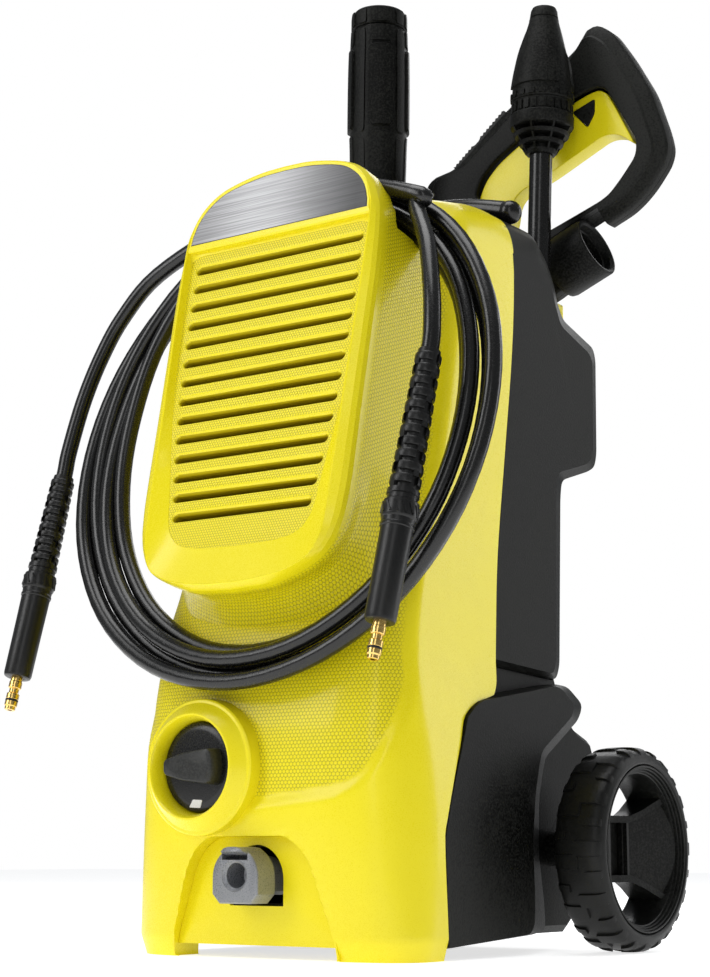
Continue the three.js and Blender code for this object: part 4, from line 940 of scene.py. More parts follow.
def half_round(radius, centre, steps):
    """The upper half of a circle, from right to left."""
    turns = [math.pi * i / steps for i in range(steps + 1)]
    return [(radius * math.cos(t), centre + radius * math.sin(t)) for t in turns]


def mouth_outline(half, foot, top):
    """A flat-footed arch: the hole that the coupling stands in."""
    return [(half, foot), *half_round(half, top - half, 20), (-half, foot)]


cover = front_cover()
bmesh.ops.recalc_face_normals(cover, faces=cover.faces)
bmesh.ops.solidify(cover, geom=cover.faces[:], thickness=WALL)
for v in cover.verts:
    v.co.z = min(v.co.z, crowned(v.co.x, v.co.y, BODY_TOP))
cover = combined(cover, upright(arch_outline(0), -200, -150))
cover = combined(cover, round_rod(KNOB_HOLE, (KNOB[0], -200, KNOB[1]), (KNOB[0], -150, KNOB[1]), 64))
piece(cover, "front_shell", YELLOW_DOTS, "front_cover", sharp=30)

liner = combined(upright(arch_outline(1.5), -169.5, -137), upright(arch_outline(0.1), -190, -130))
liner = combined(liner, block((-120, -200, -30), (120, -120, 0.5)))
recess = softened(upright(arch_outline(0.4), -162, -158), 1.5, 3, 60)
recess = combined(recess, softened(block((-120, -190, -30), (120, -120, 10)), 1, 2, 60))
recess = combined(recess, upright(mouth_outline(26, 39.5, 85.5), -190, -120))
liner = combined(liner, recess, "UNION")
for v in liner.verts:
    if v.co.y < -169:
        v.co.y = front_y(v.co.x, max(0, v.co.z)) + 1.3
bmesh.ops.triangulate(liner, faces=liner.faces)
piece(liner, "arch_liner", YELLOW)

# ---------------------------------------------------------------- hood with its grille and plate

HOOD_LEAN = math.radians(11.6)
HOOD_RIGHT = [
    (0, -24.5), (34, -22.5), (55, -17), (75, -8.5), (87, 0.5), (95.5, 14), (100, 28), (102, 42),
    (103.2, 65), (103.5, 130), (104, 190), (104, 243), (100.5, 285), (95, 303), (85, 321), (70, 333.5),
    (48, 341), (20, 345.6), (0, 346),
]
PLATE_FOOT = 287.5
FRONT = -6.2  # how far the rim and the plate stand in front of the grille


def on_panel(x, up, back):
    return Vector((
        x, -195.9 + up * math.sin(HOOD_LEAN) + back * math.cos(HOOD_LEAN),
        302 + up * math.cos(HOOD_LEAN) - back * math.sin(HOOD_LEAN),
    ))


def both_sides(right):
    """A closed outline from its right half, which starts at the foot and ends at the top."""
    line = smooth_line([(x, y, 0) for x, y in right], 5)
    return [(p.x, p.y) for p in line] + [(-p.x, p.y) for p in reversed(line[1:-1])]


def pulled_in(points, distance):
    """An outline moved inwards all round."""
    out = []
    count = len(points)
    for i, p in enumerate(points):
        a, b = Vector(points[i - 1]), Vector(points[(i + 1) % count])
        run = (b - a).normalized()
        out.append((p[0] - run.y * distance, p[1] + run.x * distance))
    return out


HOOD_OUTLINE = both_sides(HOOD_RIGHT)
RIM = both_sides([
    (0, -20), (21, -19.5), (50, -16), (69, -10), (80.5, -2), (86.4, 11), (88.7, 26), (90.5, 72),
    (91.8, 120), (93.6, 180), (95, 240), (95.2, 285), (92, 301), (84.8, 315.8), (73, 327.4), (57, 335.2),
    (27, 341.6), (0, 343),
])
PANEL_EDGE = both_sides([
    (0, 12), (30, 12.8), (47, 14.5), (59, 18), (67, 24.5), (73, 37), (76.5, 60), (82, 95), (86, 122),
    (89.5, 150), (92, 200), (93.2, 250), (93.4, 268), (92.6, 276), (80, 279), (50, 279), (20, 279),
    (0, 279),
])
PLATE_EDGE = smooth_line([
    (91, 287.5, 0), (89.8, 296, 0), (85, 309, 0), (75, 321.3, 0), (58, 331.3, 0), (27, 337.7, 0),
    (0, 339, 0),
], 6)


def coil_reach(point):
    """How far a point lies from the middle of the hose's turns, in their plane."""
    away = point - COIL
    return away.x, away.y * math.sin(COIL_LEAN) + away.z * math.cos(COIL_LEAN) - 8


def neck_point(x, up, back):
    """The hood's wall behind its lip: pinched under the hose above, flared into the body below."""
    foot = eased(80, -10, up)
    drop = along([(8, 0), (14, -1), (20, -3), (30, -1), (44, 9), (60, 26), (80, 50), (150, 120)], back) * foot
    x *= 1 + 0.055 * (back - 9) / 141 - 0.075 * foot * eased(10, 30, back) * (1 - eased(34, 70, back))
    spot = on_panel(x, up - drop, back)
    u, v = coil_reach(spot)
    reach = math.hypot(u, v)
    limit = 180.5 + 60 * (1 - eased(15, 25, back))
    if v > 0 and reach > limit:
        spot.x = COIL.x + u * limit / reach
        shift = v * limit / reach - v
        spot.y += shift * math.sin(COIL_LEAN)
        spot.z += shift * math.cos(COIL_LEAN)
    return spot


def hood_shell():
    count = 240
    base, rim = resampled(HOOD_OUTLINE, count), resampled(RIM, count)

    def between(share, back):
        return [on_panel(*r.lerp(o, share), back) for r, o in zip(rim, base)]

    rings = [
        [on_panel(x, up, 1.2) for x, up in resampled(pulled_in(PANEL_EDGE, 1), count)],
        [on_panel(x, up, 0.2) for x, up in resampled(PANEL_EDGE, count)],
        [on_panel(x, up, FRONT + 0.35) for x, up in resampled(pulled_in(RIM, 0.7), count)],
        between(0.0, FRONT), between(0.12, FRONT + 0.35), between(0.62, -2.6), between(0.9, 0.4),
        between(1.0, 4.5),
    ]
    depths = [8, 11, 14, 16, 18, 20, 22, 24, 26, 29, 33, 38, 44, 51, 59, 68, 78, 90, 105, 125, 150]
    rings += [[neck_point(x, up, back) for x, up in base] for back in depths]
    spread = [0]
    for a, b in zip(base, base[1:] + base[:1]):
        spread.append(spread[-1] + (b - a).length)
    backs = [0, 1, 6, 7, 9, 10, 15, 18] + [d + 12 for d in depths]

    def place(a, b):
        i, k = round(a * count), round(b * (len(rings) - 1))
        dotted = eased(19, 26, backs[k] + 6 * eased(40, -10, base[i % count][1]))
        return rings[k][i % count], (spread[i], backs[k]), dotted if k > 7 else 0

    bm = shaped_sheet(count, len(rings) - 1, place)
    bmesh.ops.remove_doubles(bm, verts=bm.verts, dist=0.001)
    bmesh.ops.recalc_face_normals(bm, faces=bm.faces)
    return bm


hood = piece(hood_shell(), "hood_shell", YELLOW_DOTS, "hood", sharp=12)
wall = hood.modifiers.new("wall", "SOLIDIFY")
wall.thickness = 0.0025
wall.offset = -1


def stadium(half, low, high, middle, steps=8):
    """A slot's outline: round ends, with its own half width and heights below and above its middle."""
    radius = (low + high) / 2
    centre = middle + (high - low) / 2
    turns = [math.pi * (i / steps - 0.5) for i in range(steps + 1)]
    right = [(half - radius + radius * math.cos(t), centre + radius * math.sin(t)) for t in turns]
    return right + [(-x, 2 * centre - up) for x, up in right]


SLOTS, FIRST_SLOT, SLOT_STEP = 14, 41, 17.15
SLOT_HALF = [(41, 69), (95, 77.5), (150, 82.5), (215, 85.5), (265, 86)]
# how deep, how far below and above its middle, and how much wider than its innermost part
SLOT_RINGS = [
    (0.0, 3.5, 8.0, 1.8), (0.6, 3.3, 6.2, 1.3), (1.4, 3.1, 4.6, 0.8), (2.4, 3, 3.5, 0.4),
    (4.2, 2.9, 2.9, 0.1), (8, 2.9, 2.6, 0), (15, 2.9, 2.5, 0),
]


def grille():
    panel = prism(resampled(pulled_in(PANEL_EDGE, -1.2), 140), 0.6, 13, on_panel)
    tools = []
    for k in range(SLOTS):
        middle = FIRST_SLOT + SLOT_STEP * k
        half = along(SLOT_HALF, middle)
        tools.append(lofted([
            [on_panel(x, up, back) for x, up in stadium(half + side, low, high, middle)]
            for back, low, high, side in SLOT_RINGS
        ]))
    panel = combined(panel, merged(*tools))
    bmesh.ops.triangulate(panel, faces=panel.faces)
    panel.normal_update()
    surface = on_panel(0, 0, 0)
    ahead = on_panel(0, 0, -1) - surface
    for face in panel.faces:
        deep = (surface - face.calc_center_median()).dot(ahead)
        outside = face.normal.dot(ahead) > 0.985
        # by depth, the slot walls take the painted shade yellows, darker further in
        face.material_index = 0 if outside else 1 if deep < 1.9 else 2 if deep < 5 else 3
    return panel


piece(grille(), "grille_face", [YELLOW_GRILLE, YELLOW, SLOT_SHADE, SLOT_DEEP_SHADE], "grille_panel", sharp=40)
# painted shade: a black sheet behind the grille, so that the slots show dark
piece(prism(resampled(pulled_in(PANEL_EDGE, -3), 60), 26, 28, on_panel), "shade_sheet_behind_grille", BLACK)


def plate_outline(grow, foot):
    """The plate's outline, grown, and cut off at a line across it."""
    right = [(PLATE_EDGE[0].x + grow + 0.3, foot)] if foot < PLATE_FOOT else []
    right += [(p.x + grow * p.x / 95, p.y + grow * (p.y - 270) / 75) for p in PLATE_EDGE]
    return right + [(-x, up) for x, up in reversed(right[:-1])]


def flat_plate(outline, front, back, chamfer):
    """A plate with a chamfered front edge; its front stays flat."""
    rings = (outline, back), (outline, front + chamfer), (pulled_in(outline, chamfer), front)
    return lofted([[on_panel(x, up, deep) for x, up in ring] for ring, deep in rings])


piece(flat_plate(plate_outline(3.2, 281.2), FRONT + 0.45, 6, 1.2), "plate_shelf", YELLOW, sharp=20)
plate = flat_plate(plate_outline(0, PLATE_FOOT), FRONT + 0.1, 0, 0.3)
piece(plate, "brushed_plate", PLATE, "name_plate", sharp=20)
groove = flat_plate(plate_outline(0.5, PLATE_FOOT - 0.5), FRONT + 0.3, 0, 0.1)
piece(groove, "plate_groove", BLACK_SMOOTH, sharp=20)

# ---------------------------------------------------------------- dial

bezel = lathe([
    (35.6, 6), (35.6, 21), (36.4, 25), (38.7, 32), (39.6, 33), (40.8, 32.9), (41.8, 32), (48.6, 23.6),
    (49.6, 22.8), (51.6, 22.4), (52.8, 21.4), (53, 20), (53, 6),
], 96, (KNOB[0], -162, KNOB[1]), (0, -1, 0))
piece(bezel, "bezel_ring", YELLOW, "dial_bezel", sharp=24)
KNOB_FOOT = Vector((KNOB[0], -172.3, KNOB[1]))
DISC = [(0, 0), (35, 0), (35, 8.6), (34, 10.6), (32, 11.6), (28, 12), (0, 12)]
disc = lathe(DISC, 96, KNOB_FOOT, (0, -1, 0))
piece(disc, "knob_disc", BLACK_SMOOTH, "power_knob", sharp=24)


def on_knob(x, z, ahead):
    return KNOB_FOOT + Vector((x, -ahead, z))


def knob_grip():
    outline = rounded_outline([
        (-27, -6), (-8, -11.5), (22, -15), (25, -6), (25, 6), (22, 15), (-8, 11.5), (-27, 6),
    ], 4, 3)
    return lofted([
        [on_knob(x * min(1, share + 0.04), z * share, high) for x, z in outline]
        for high, share in ((6, 1.0), (11, 1.0), (17, 0.965), (21.5, 0.93), (23.4, 0.88), (24, 0.8))
    ])


piece(knob_grip(), "knob_grip", DIAL_GRIP, body="dial", sharp=28)
# a small pale raised mark near the bottom of the knob's disc
mark = rounded_outline([(-7.5, -31), (3.5, -31.6), (5.5, -25.5), (-4, -25)], 1, 3)
mark = prism(mark, 11.4, 12.25, on_knob)
piece(mark, "knob_mark", PALE, body="dial", sharp=28)

# ---------------------------------------------------------------- outlet coupling

OUTLET_FACE = -189


def on_outlet(x, deep, z):
    return x, OUTLET_FACE + deep, OUTLET_Z + z


def outlet_body():
    outline = [(15, -21), (22, -14), *half_round(22, -1, 24), (-22, -14), (-15, -21)]
    bm = lofted([
        [on_outlet(x, deep, z) for x, z in pulled_in(outline, inset)]
        for deep, inset in ((0, 1.3), (0.4, 0.6), (1.3, 0), (21.5, 0), (22.3, 0.8), (22.6, 6.5), (41.7, 6.5))
    ])
    bore = [(0, -1), (12.2, -1), (12.2, 0.2), (10.4, 1.8), (9.5, 2.4), (9.5, 23), (8, 24), (0, 24)]
    bm = combined(bm, lathe(bore, 64, on_outlet(0, 0, 0), (0, 1, 0)))
    return combined(bm, block(on_outlet(-12.4, -2, 11.6), on_outlet(12.4, 21, 30)))


rounded(piece(outlet_body(), "coupling_body", COUPLER, "outlet_coupling", sharp=30), 0.3)
LATCH = [(-12, 15.2), (12, 15.2), (12, 18), (8.5, 20.4), (4, 21.3), (-4, 21.3), (-8.5, 20.4), (-12, 18)]
# how far in, the share of its width, and the height of its underside
LATCH_RINGS = [(-3.9, 0.78, 18.6), (-3.5, 0.9, 17.8), (-1, 0.98, 16.6), (3, 1, 15.2), (20.5, 1, 15.2)]
latch = lofted([
    [on_outlet(x * share, deep, z if z > 16 else low) for x, z in LATCH] for deep, share, low in LATCH_RINGS
])
rounded(piece(latch, "latch_tongue", COUPLER, "outlet_latch", sharp=30), 0.5, 3)

# ---------------------------------------------------------------- rear cover and side covers

REAR_OUTER = [
    (-60, 232), (97, 224), (103, 236), (110, 383), (113, 399), (160, 414), (172, 420), (176, 432),
    (178, 520), (174, 530), (120, 545), (109, 561), (103, 582), (94, 596), (73, 604), (60, 604), (41, 604),
    (34, 604), (20, 604), (-60, 604),
]
REAR_INNER = [
    (-60, 236), (84, 228), (89, 238), (94, 386), (98, 403), (148, 418), (157, 424), (161, 436), (163, 514),
    (158, 521), (108, 536), (96, 556), (90, 576), (84, 590), (68, 604), (56, 604), (41, 604), (34, 604),
    (20, 604), (-60, 604),
]
SIDE_OUTLINE = [
    (-110, 8), (-110, 90), (-104, 112), (-94, 136), (-80, 166), (-71, 186), (-59, 194), (-47, 199),
    (80, 219), (102, 218), (126, 204), (117, 191), (58, 157), (52, 144), (44, 122), (40, 80), (47, 37),
    (48, 18), (28, 15),
]
SIDE_FACE = [
    (-110, 9), (-110, 90), (-104, 112), (-94, 136), (-80, 165), (-71, 184), (-59, 192), (-47, 197),
    (70, 216), (80, 214), (98, 202), (93, 192), (40, 161), (34, 148), (26, 125), (19, 88), (20, 40),
    (18, 22), (12, 16),
]
# by height: how far the side covers draw in
TUCK = [(0, 0), (60, 0.04), (120, 0.2), (196, 0.6), (220, 0.75)]
BEND_X = 86.5  # where the back begins to turn into the sides
GUIDE_X, HANDLE_Y = 70, 53
PARTING_GAP = 0.6
LANCE_FLOOR = Vector((0, 134, 425))
DIRT_LANCE = (76.5, 2.5)  # x of its foot, and its lean in degrees
VARIO_LANCE = (-98.5, 0.8)


def on_lance(lance, bm):
    """Stands a form on a lance's own foot and lean."""
    x, lean = lance
    return moved(bm, Matrix.Translation(LANCE_FLOOR + Vector((x, 0, 0))) @ spun(lean, "Y"))


def forward(gap):
    """The room of the front cover, as far as the parting line."""
    line = [(y + gap, z) for z, y in PARTING]
    outline = [(-400, -60), (line[0][0], -60), *line, (line[-1][0], 700), (-400, 700)]
    return prism(outline, -160, 160, lambda a, b, c: (c, a, b))


def rear_cover():
    outer, inner = rounded_outline(REAR_OUTER, 7, 4), rounded_outline(REAR_INNER, 7, 4)
    half = BODY_TOP - SHOULDER

    def ring(outline, x):
        past = (abs(x) - BEND_X) / SHOULDER
        drop = math.sqrt(max(0, 1 - past * past)) if past > 0 else 1
        return [(x, y, crowned(x, y, half + (z - half) * drop if z > half else z)) for y, z in outline]

    turns = [BEND_X + SHOULDER * math.sin(math.radians(t)) for t in (12, 24, 35, 45, 52)] + [116.3]
    right = [ring(outer, x) for x in (15, 30, 45, 60, 73, BEND_X, *turns)] + [
        ring([(o[0] * (1 - t) + i[0] * t, o[1] * (1 - t) + i[1] * t) for o, i in zip(outer, inner)], x)
        for x, t in ((116.9, 0.06), (120.9, 0.94), (121.5, 1))
    ]
    rings = [[(-x, y, z) for x, y, z in each] for each in reversed(right)] + [ring(outer, 0)] + right
    bm = combined(lofted(rings), forward(PARTING_GAP))
    for lance in (DIRT_LANCE, VARIO_LANCE):
        bm = combined(bm, on_lance(lance, lathe([(0, 0), (11.5, 0), (11.5, 260), (0, 260)], 40)))
    for side in (-1, 1):
        x = GUIDE_X * side
        bm = combined(bm, round_rod(12.8, (x, HANDLE_Y, 540), (x, HANDLE_Y, 660)))
    return bm


rounded(piece(rear_cover(), "rear_shell", BLACK, "rear_cover", sharp=28), 0.8, 2, 40)


def side_cover(side):
    def ring(outline, x):
        return [(side * (x - 8.75 * along(TUCK, z)), y, z) for y, z in rounded_outline(outline, 7, 3)]

    rings = [ring(SIDE_OUTLINE, x) for x in (112.2, 130.4, 131)]
    rings += [ring(SIDE_FACE, x) for x in (138.3, 138.8)]
    return combined(lofted(rings), forward(PARTING_GAP))


SIDES = (1, "right"), (-1, "left")
for side, label in SIDES:
    cover = piece(side_cover(side), f"side_shell_{label}", BLACK, f"side_cover_{label}", sharp=28)
    rounded(cover, 0.8, 2, 40)

# ---------------------------------------------------------------- wheels

AXLE = Vector((0, 94.7, 82.5))
WHEEL_FACE = 201
TYRE_WIDTH = 44.6
TYRE_CROWN = [
    (0, 70.5), (2.6, 76.5), (6.5, 79.2), (12, 80.3), (24, 80.6), (34, 80.3), (39, 79.2), (42.4, 76.5),
    (TYRE_WIDTH, 70.5),
]


def on_wheel(side, forward_by, up, deep):
    return Vector((side * (WHEEL_FACE - deep), AXLE.y + forward_by, AXLE.z + up))


def turned_on_axle(side, profile, steps):
    """A wheel's turned part, with its heights measured inwards from the wheel's face."""
    return lathe(profile, steps, (side * WHEEL_FACE, AXLE.y, AXLE.z), (-side, 0, 0))


def oblong(low, high):
    return [low, (high[0], low[1]), high, (low[0], high[1])]


def tyre(side):
    profile = [(67.6, 4), (67.9, 1.6), (68.8, 0.4), (70.2, 0)] + [(r, h) for h, r in TYRE_CROWN[1:-1]] + [
        (70.2, TYRE_WIDTH), (68.8, 44.3), (67.9, 43.4), (67.6, 42), (67.6, 4)]
    steps = smooth_line([(r, h, 0) for r, h in profile[3:-4]], 3)
    profile = profile[:3] + [(p.x, p.y) for p in steps] + profile[-4:]
    parts = [turned_on_axle(side, profile, 120)]
    for i in range(24):
        near, far, half = (1.6, 15, 0.045) if i % 2 else (0.9, 25.5, 0.083)
        for back in (False, True):
            middle = math.radians(15 * i + (7.5 if back else 0))

            def lug(u, v, out):
                deep = near + (far - near) * (v + 1) / 2
                radius = min(along(TYRE_CROWN, deep) + (1.9 if out else -1.6), 82.45)
                angle = middle + u * half
                forward_by, up = radius * math.cos(angle), radius * math.sin(angle)
                return on_wheel(side, forward_by, up, TYRE_WIDTH - deep if back else deep)

            parts.append(pad(6, 8, lug, 2))
    return merged(*parts)


RIM_PROFILE = [
    (60.4, 9), (60.8, 7.4), (61.9, 7.1), (62.1, 5), (62.5, 4.6), (63.4, 4.6), (63.6, 5), (63.8, 2.8),
    (64.2, 2.4), (65.1, 2.4), (65.3, 2.8), (65.5, 1), (66, 0.6), (67, 0.8), (67.5, 2), (67.5, 42), (66, 44),
    (61.4, 44), (60.4, 42), (60.4, 9),
]
RIB_LINE = [(0, 24), (18, 24), (29, 29), (48.5, 41)]


def wheel_disc(side):
    """The rim with its two webs and four ribs, and the block in the middle that holds the cap."""
    at = partial(on_wheel, side)
    parts = [turned_on_axle(side, RIM_PROFILE, 120)]
    start = math.atan2(41, 48.5)
    turns = [start * (1 - k / 8) for k in range(17)]
    arc = [(61 * math.cos(t), 61 * math.sin(t)) for t in turns]
    web = [(13, 24), (18, 24), (29, 29), *arc, (29, -29), (18, -24), (13, -24)]
    line = [Vector(p) for p in RIB_LINE] + [Vector((62 * math.cos(start), 62 * math.sin(start)))]
    low = [p - Vector((0, 2.8)) for p in line]
    high = [p + Vector((0, 2.8)) for p in line]
    low[-1], high[-1] = line[-1] + Vector((1.4, -1.8)), line[-1] + Vector((-1.4, 1.8))
    for way in (-1, 1):
        parts.append(prism(web, 0, 3.5, lambda a, b, c: at(way * a, b, 31 - 24 * (a - 13) / 48 + c)))
        for up in (-1, 1):
            def rib(a, b, c):
                front = 26 - 22 * min(1, max(0, (a - 18) / 40))
                return at(way * a, up * b, front + c * (42 - front))

            parts.append(prism(low + high[::-1], 0, 1, rib))
    hub = turned_on_axle(side, [(6.6, 39), (17, 39), (17, 47), (6.6, 47), (6.6, 39)], 48)
    holder = prism(oblong((-17.5, -26), (17.5, 26)), 27, 44, at)
    parts.append(combined(holder, prism(oblong((-14, -22), (14, 22)), 5, 39.5, at)))
    bore = round_rod(6.6, (side * 150, AXLE.y, AXLE.z), (side * 198, AXLE.y, AXLE.z))
    return combined(joined(*parts, hub), bore)


def axle_cover(side):
    at = partial(on_wheel, side)
    cap = prism(oblong((-13.6, -21.6), (13.6, 21.6)), 36, 39.3, at)
    return combined(cap, prism(oblong((-9.5, -7), (-4.5, 7)), 30, 39, at))


for side, label in SIDES:
    piece(tyre(side), f"tyre_{label}_tread", TYRE, f"tyre_{label}", sharp=38)
    rounded(piece(wheel_disc(side), f"wheel_{label}_disc", WHEEL, f"wheel_{label}", sharp=30), 0.3, 2, 40)
    rounded(piece(axle_cover(side), f"axle_cover_{label}", WHEEL, f"axle_cap_{label}", sharp=30), 0.5)
SHAFT = [(0, -161.5), (5, -161.5), (6, -160.5), (6, 160.5), (5, 161.5), (0, 161.5)]
piece(lathe(SHAFT, 40, AXLE, (1, 0, 0)), "axle_shaft", STEEL, "axle")

# ---------------------------------------------------------------- lances


def spoke(reach, angle, up):
    return Vector((reach * math.cos(angle), reach * math.sin(angle), up))


def pads_round(lance, turns, half, low, high, radius, raised):
    """Raised pads round a lance, each half wide, from low to high."""
    parts = []
    for turn in turns:
        def where(u, v, out):
            up = low + (high - low) * (v + 1) / 2
            reach = radius(up) + (raised if out else -1.5)
            return spoke(reach, math.radians(turn) + u * half / radius(up), up)

        parts.append(on_lance(lance, pad(10, 10, where)))
    return parts


def tube_form(length):
    return lathe([
        (7.4, 0.5), (9.4, 0.5), (10.5, 2), (10.5, length - 1), (9.5, length), (7.4, length), (7.4, 0.5),
    ], 48)


piece(on_lance(DIRT_LANCE, tube_form(330)), "dirt_tube", BLACK_SMOOTH, "dirt_lance_tube")
piece(on_lance(VARIO_LANCE, tube_form(466)), "vario_tube", BLACK_SMOOTH, "vario_lance_tube")

HEAD = [(332, 28.3), (336, 29), (346, 28.4), (360, 26.5), (379, 22.8), (398, 18.2), (410, 14.9)]
head = [on_lance(DIRT_LANCE, lathe([
    (10.6, 332.3), (27.6, 332.3), (28.4, 334), *[(r - 0.9, h) for h, r in HEAD[1:]], (13.6, 413),
    (12.2, 413.4), (12.2, 414.2), (13.2, 414.6), (12.3, 421), (10.9, 424), (5.4, 424), (4.6, 423.2), (4, 416),
    (0, 416),
], 72))]
for turn in (-89, 91):
    def shell(u, v, out):
        up = 344.5 + 28.5 * (v + 1)
        spread = 80 - 48 * eased(-0.9, 1, v)
        return spoke(along(HEAD, up) + (0.9 if out else -2), math.radians(turn + u * spread), up)

    head.append(on_lance(DIRT_LANCE, pad(24, 16, shell)))
head += pads_round(DIRT_LANCE, range(0, 360, 20), 3.1, 333.6, 339.4, lambda up: 28.2, 1.2)
piece(merged(*head), "dirt_head", BLACK, "dirt_lance_head", sharp=32)

collar = [lathe([
    (10.8, 283), (13, 283), (14.6, 285), (15, 287), (12.3, 287.4), (12.3, 291), (19, 291.2), (20, 292),
    (20.8, 294.6), (13, 295), (13, 299), (24, 299.2), (25, 300), (26, 302.6), (13.5, 303), (13.5, 307),
    (26.6, 307), (28.4, 307.8), (29.3, 309.4), (29.4, 318.6), (28.6, 319.6), (27, 320), (27, 330.4),
    (27.6, 331.6), (10.8, 331.6), (10.8, 283),
], 72)]
for turn in range(0, 360, 45):
    fin = upright([(12, 284), (15, 285), (28.6, 308), (12, 308)], -0.9, 0.9)
    collar.append(moved(fin, spun(turn + 10, "Z")))
collar = [on_lance(DIRT_LANCE, merged(*collar))]
collar += pads_round(DIRT_LANCE, range(0, 360, 15), 2.5, 320.6, 330, lambda up: 27, 1.5)
piece(merged(*collar), "dirt_collar", BLACK, "dirt_lance_ring", sharp=32)

SLEEVE = [
    (268, 20), (276, 24.4), (290, 26), (330, 27), (345, 27.6), (400, 27.6), (438, 26.8), (448, 26.4),
    (474, 26.2),
]
sleeve_radius = partial(along, SLEEVE)
BROAD, NARROW = (40, 130, 220, 310), (85, 175, 265, 355)


def tip_radius(up):
    return 26.2 - 0.6 * eased(458, 466, up)


sleeve = [on_lance(VARIO_LANCE, lathe([
    (10.8, 268), (19, 268), (20, 269), *[(r, h) for h, r in SLEEVE[1:7]], (25.6, 446.6), (24.6, 447.8),
    (10.8, 447.8), (10.8, 268),
], 72))]
for turns, half, low, high, raised in (
    (BROAD, 12.6, 341, 428, 2.7), (BROAD, 11, 277, 339.5, 1.0), (BROAD, 11, 428.8, 446.6, 1.4),
    (NARROW, 5.6, 335, 446.6, 1.1), (NARROW, 5.2, 280, 333, 0.7),
):
    sleeve += pads_round(VARIO_LANCE, turns, half, low, high, sleeve_radius, raised)
piece(merged(*sleeve), "vario_grip", BLACK, "vario_sleeve", sharp=32)
tip = [on_lance(VARIO_LANCE, lathe([
    (10.8, 448.4), (25, 448.4), (26, 449.2), (26.2, 461), (25.6, 464.6), (24, 466.4), (22, 467),
    (14.4, 467), (13.4, 466.4), (12, 466.4), (10.8, 466.4), (10.8, 448.4),
], 72))]
for turns, half, raised in ((BROAD, 11, 1.4), (NARROW, 5.6, 1.1)):
    tip += pads_round(VARIO_LANCE, turns, half, 449, 464.8, tip_radius, raised)
piece(merged(*tip), "vario_tip", BLACK, "vario_cap", sharp=32)

# ---------------------------------------------------------------- trigger gun

GUN_Y = 181
GUN_OUTER = [
    (118, 837), (110, 823), (97, 814), (62, 797), (27, 776), (-8, 748), (-30, 730), (-55, 726), (-63, 720),
    (-72, 692), (-67, 640), (-50, 596), (-22, 572), (20, 568), (75, 584), (104, 600), (126, 641),
    (156, 653), (168, 661), (180, 672), (195, 691), (199, 704), (196, 720), (183, 761), (162, 800),
    (144, 828), (129, 839),
]
GUN_LOOP = [
    (169, 716), (147, 757), (139, 771), (130, 776), (118, 774), (98, 768), (43, 741), (19, 727), (3, 712),
    (-4, 695), (22, 675), (24, 634), (70, 645), (130, 665), (140, 670), (153, 683), (168, 701),
]
TRIGGER = [
    (166, 713), (146, 754), (138, 769), (129.5, 774), (118, 772), (99, 766), (44, 739), (21, 725.5),
    (5.5, 710.5), (-3.5, 691), (-2.5, 672), (7, 655), (22, 650), (31, 662), (35, 684), (44, 693), (74, 703),
    (134, 729), (149, 727),
]
PIVOT = Vector((7, 668))
LOCK = [(117.5, 740), (124.5, 752), (125.5, 766), (101.5, 758)]
LOOP_CENTRE = Vector((75, 700))
MOUTH = Vector((119, GUN_Y, 628))
BARREL = Vector((-0.93, 0, -0.37)).normalized()


def reach_to(outline, angle):
    """Distance from the loop's middle to an outline round it, at an angle."""
    way = Vector((math.cos(angle), math.sin(angle)))
    best = 0
    for a, b in zip(outline, outline[1:] + outline[:1]):
        p, q = Vector(a) - LOOP_CENTRE, Vector(b) - LOOP_CENTRE
        side_a, side_b = way.cross(p), way.cross(q)
        if side_a * side_b <= 0 and side_a != side_b:
            spot = p.lerp(q, side_a / (side_a - side_b))
            best = max(best, spot.dot(way))
    return best


# across the case: whether it goes by the outer or the inner edge, distance in from it, and half thickness
CASE_SECTION = [
    ("outer", 0, 0), ("outer", 0, 5), ("outer", 0.5, 7.6), ("outer", 2, 9.6), ("outer", 5, 11.2),
    ("outer", 11.5, 13.2), ("outer", 12.5, 14.4), ("outer", 13.4, 15.1), ("outer", 14.6, 15.2),
    ("inner", 3.2, 15.2), ("inner", 1.6, 14.9), ("inner", 0.5, 14), ("inner", 0, 12.2), ("inner", 0, 0),
]


def gun_frame(count=220):
    outer, inner = rounded_outline(GUN_OUTER, 10, 5), rounded_outline(GUN_LOOP, 8, 5)
    section = CASE_SECTION + [(edge, off, -high) for edge, off, high in reversed(CASE_SECTION)][1:-1]
    angles = [2 * math.pi * i / count for i in range(count)]
    spans = [(reach_to(outer, t), reach_to(inner, t)) for t in angles]
    rings = []
    for edge, off, high in section:
        ring = []
        for t, (far, near) in zip(angles, spans):
            share = min(1, (far - near) / 20)
            r = far - off * share if edge == "outer" else near + off * share
            ring.append((LOOP_CENTRE.x + r * math.cos(t), GUN_Y - high, LOOP_CENTRE.y + r * math.sin(t)))
        rings.append(ring)
    return lofted(rings, endless=True)


def gun_slice(low, high):
    """What the gun's case keeps on one side of its seam, without the room of the barrel and the trigger."""
    bm = combined(gun_frame(), block((-200, low, 500), (300, high, 900)), "INTERSECT")
    bm = combined(bm, lathe([(0, -20), (29.5, -20), (29.5, 45.5), (0, 45.5)], 64, MOUTH, BARREL))
    for turn in (0, 3, 6.3):
        swing = Matrix.Rotation(math.radians(turn), 2)
        for outline, radius, front, back in ((TRIGGER, 6, 10, 10), (LOCK, 3, 11.2, 12.8)):
            grown = pulled_in(rounded_outline(outline, radius, 3), -1.0)
            swung = [(PIVOT + swing @ (Vector(p) - PIVOT))[:] for p in grown]
            bm = combined(bm, upright(swung, GUN_Y - front, GUN_Y + back))
    return bm


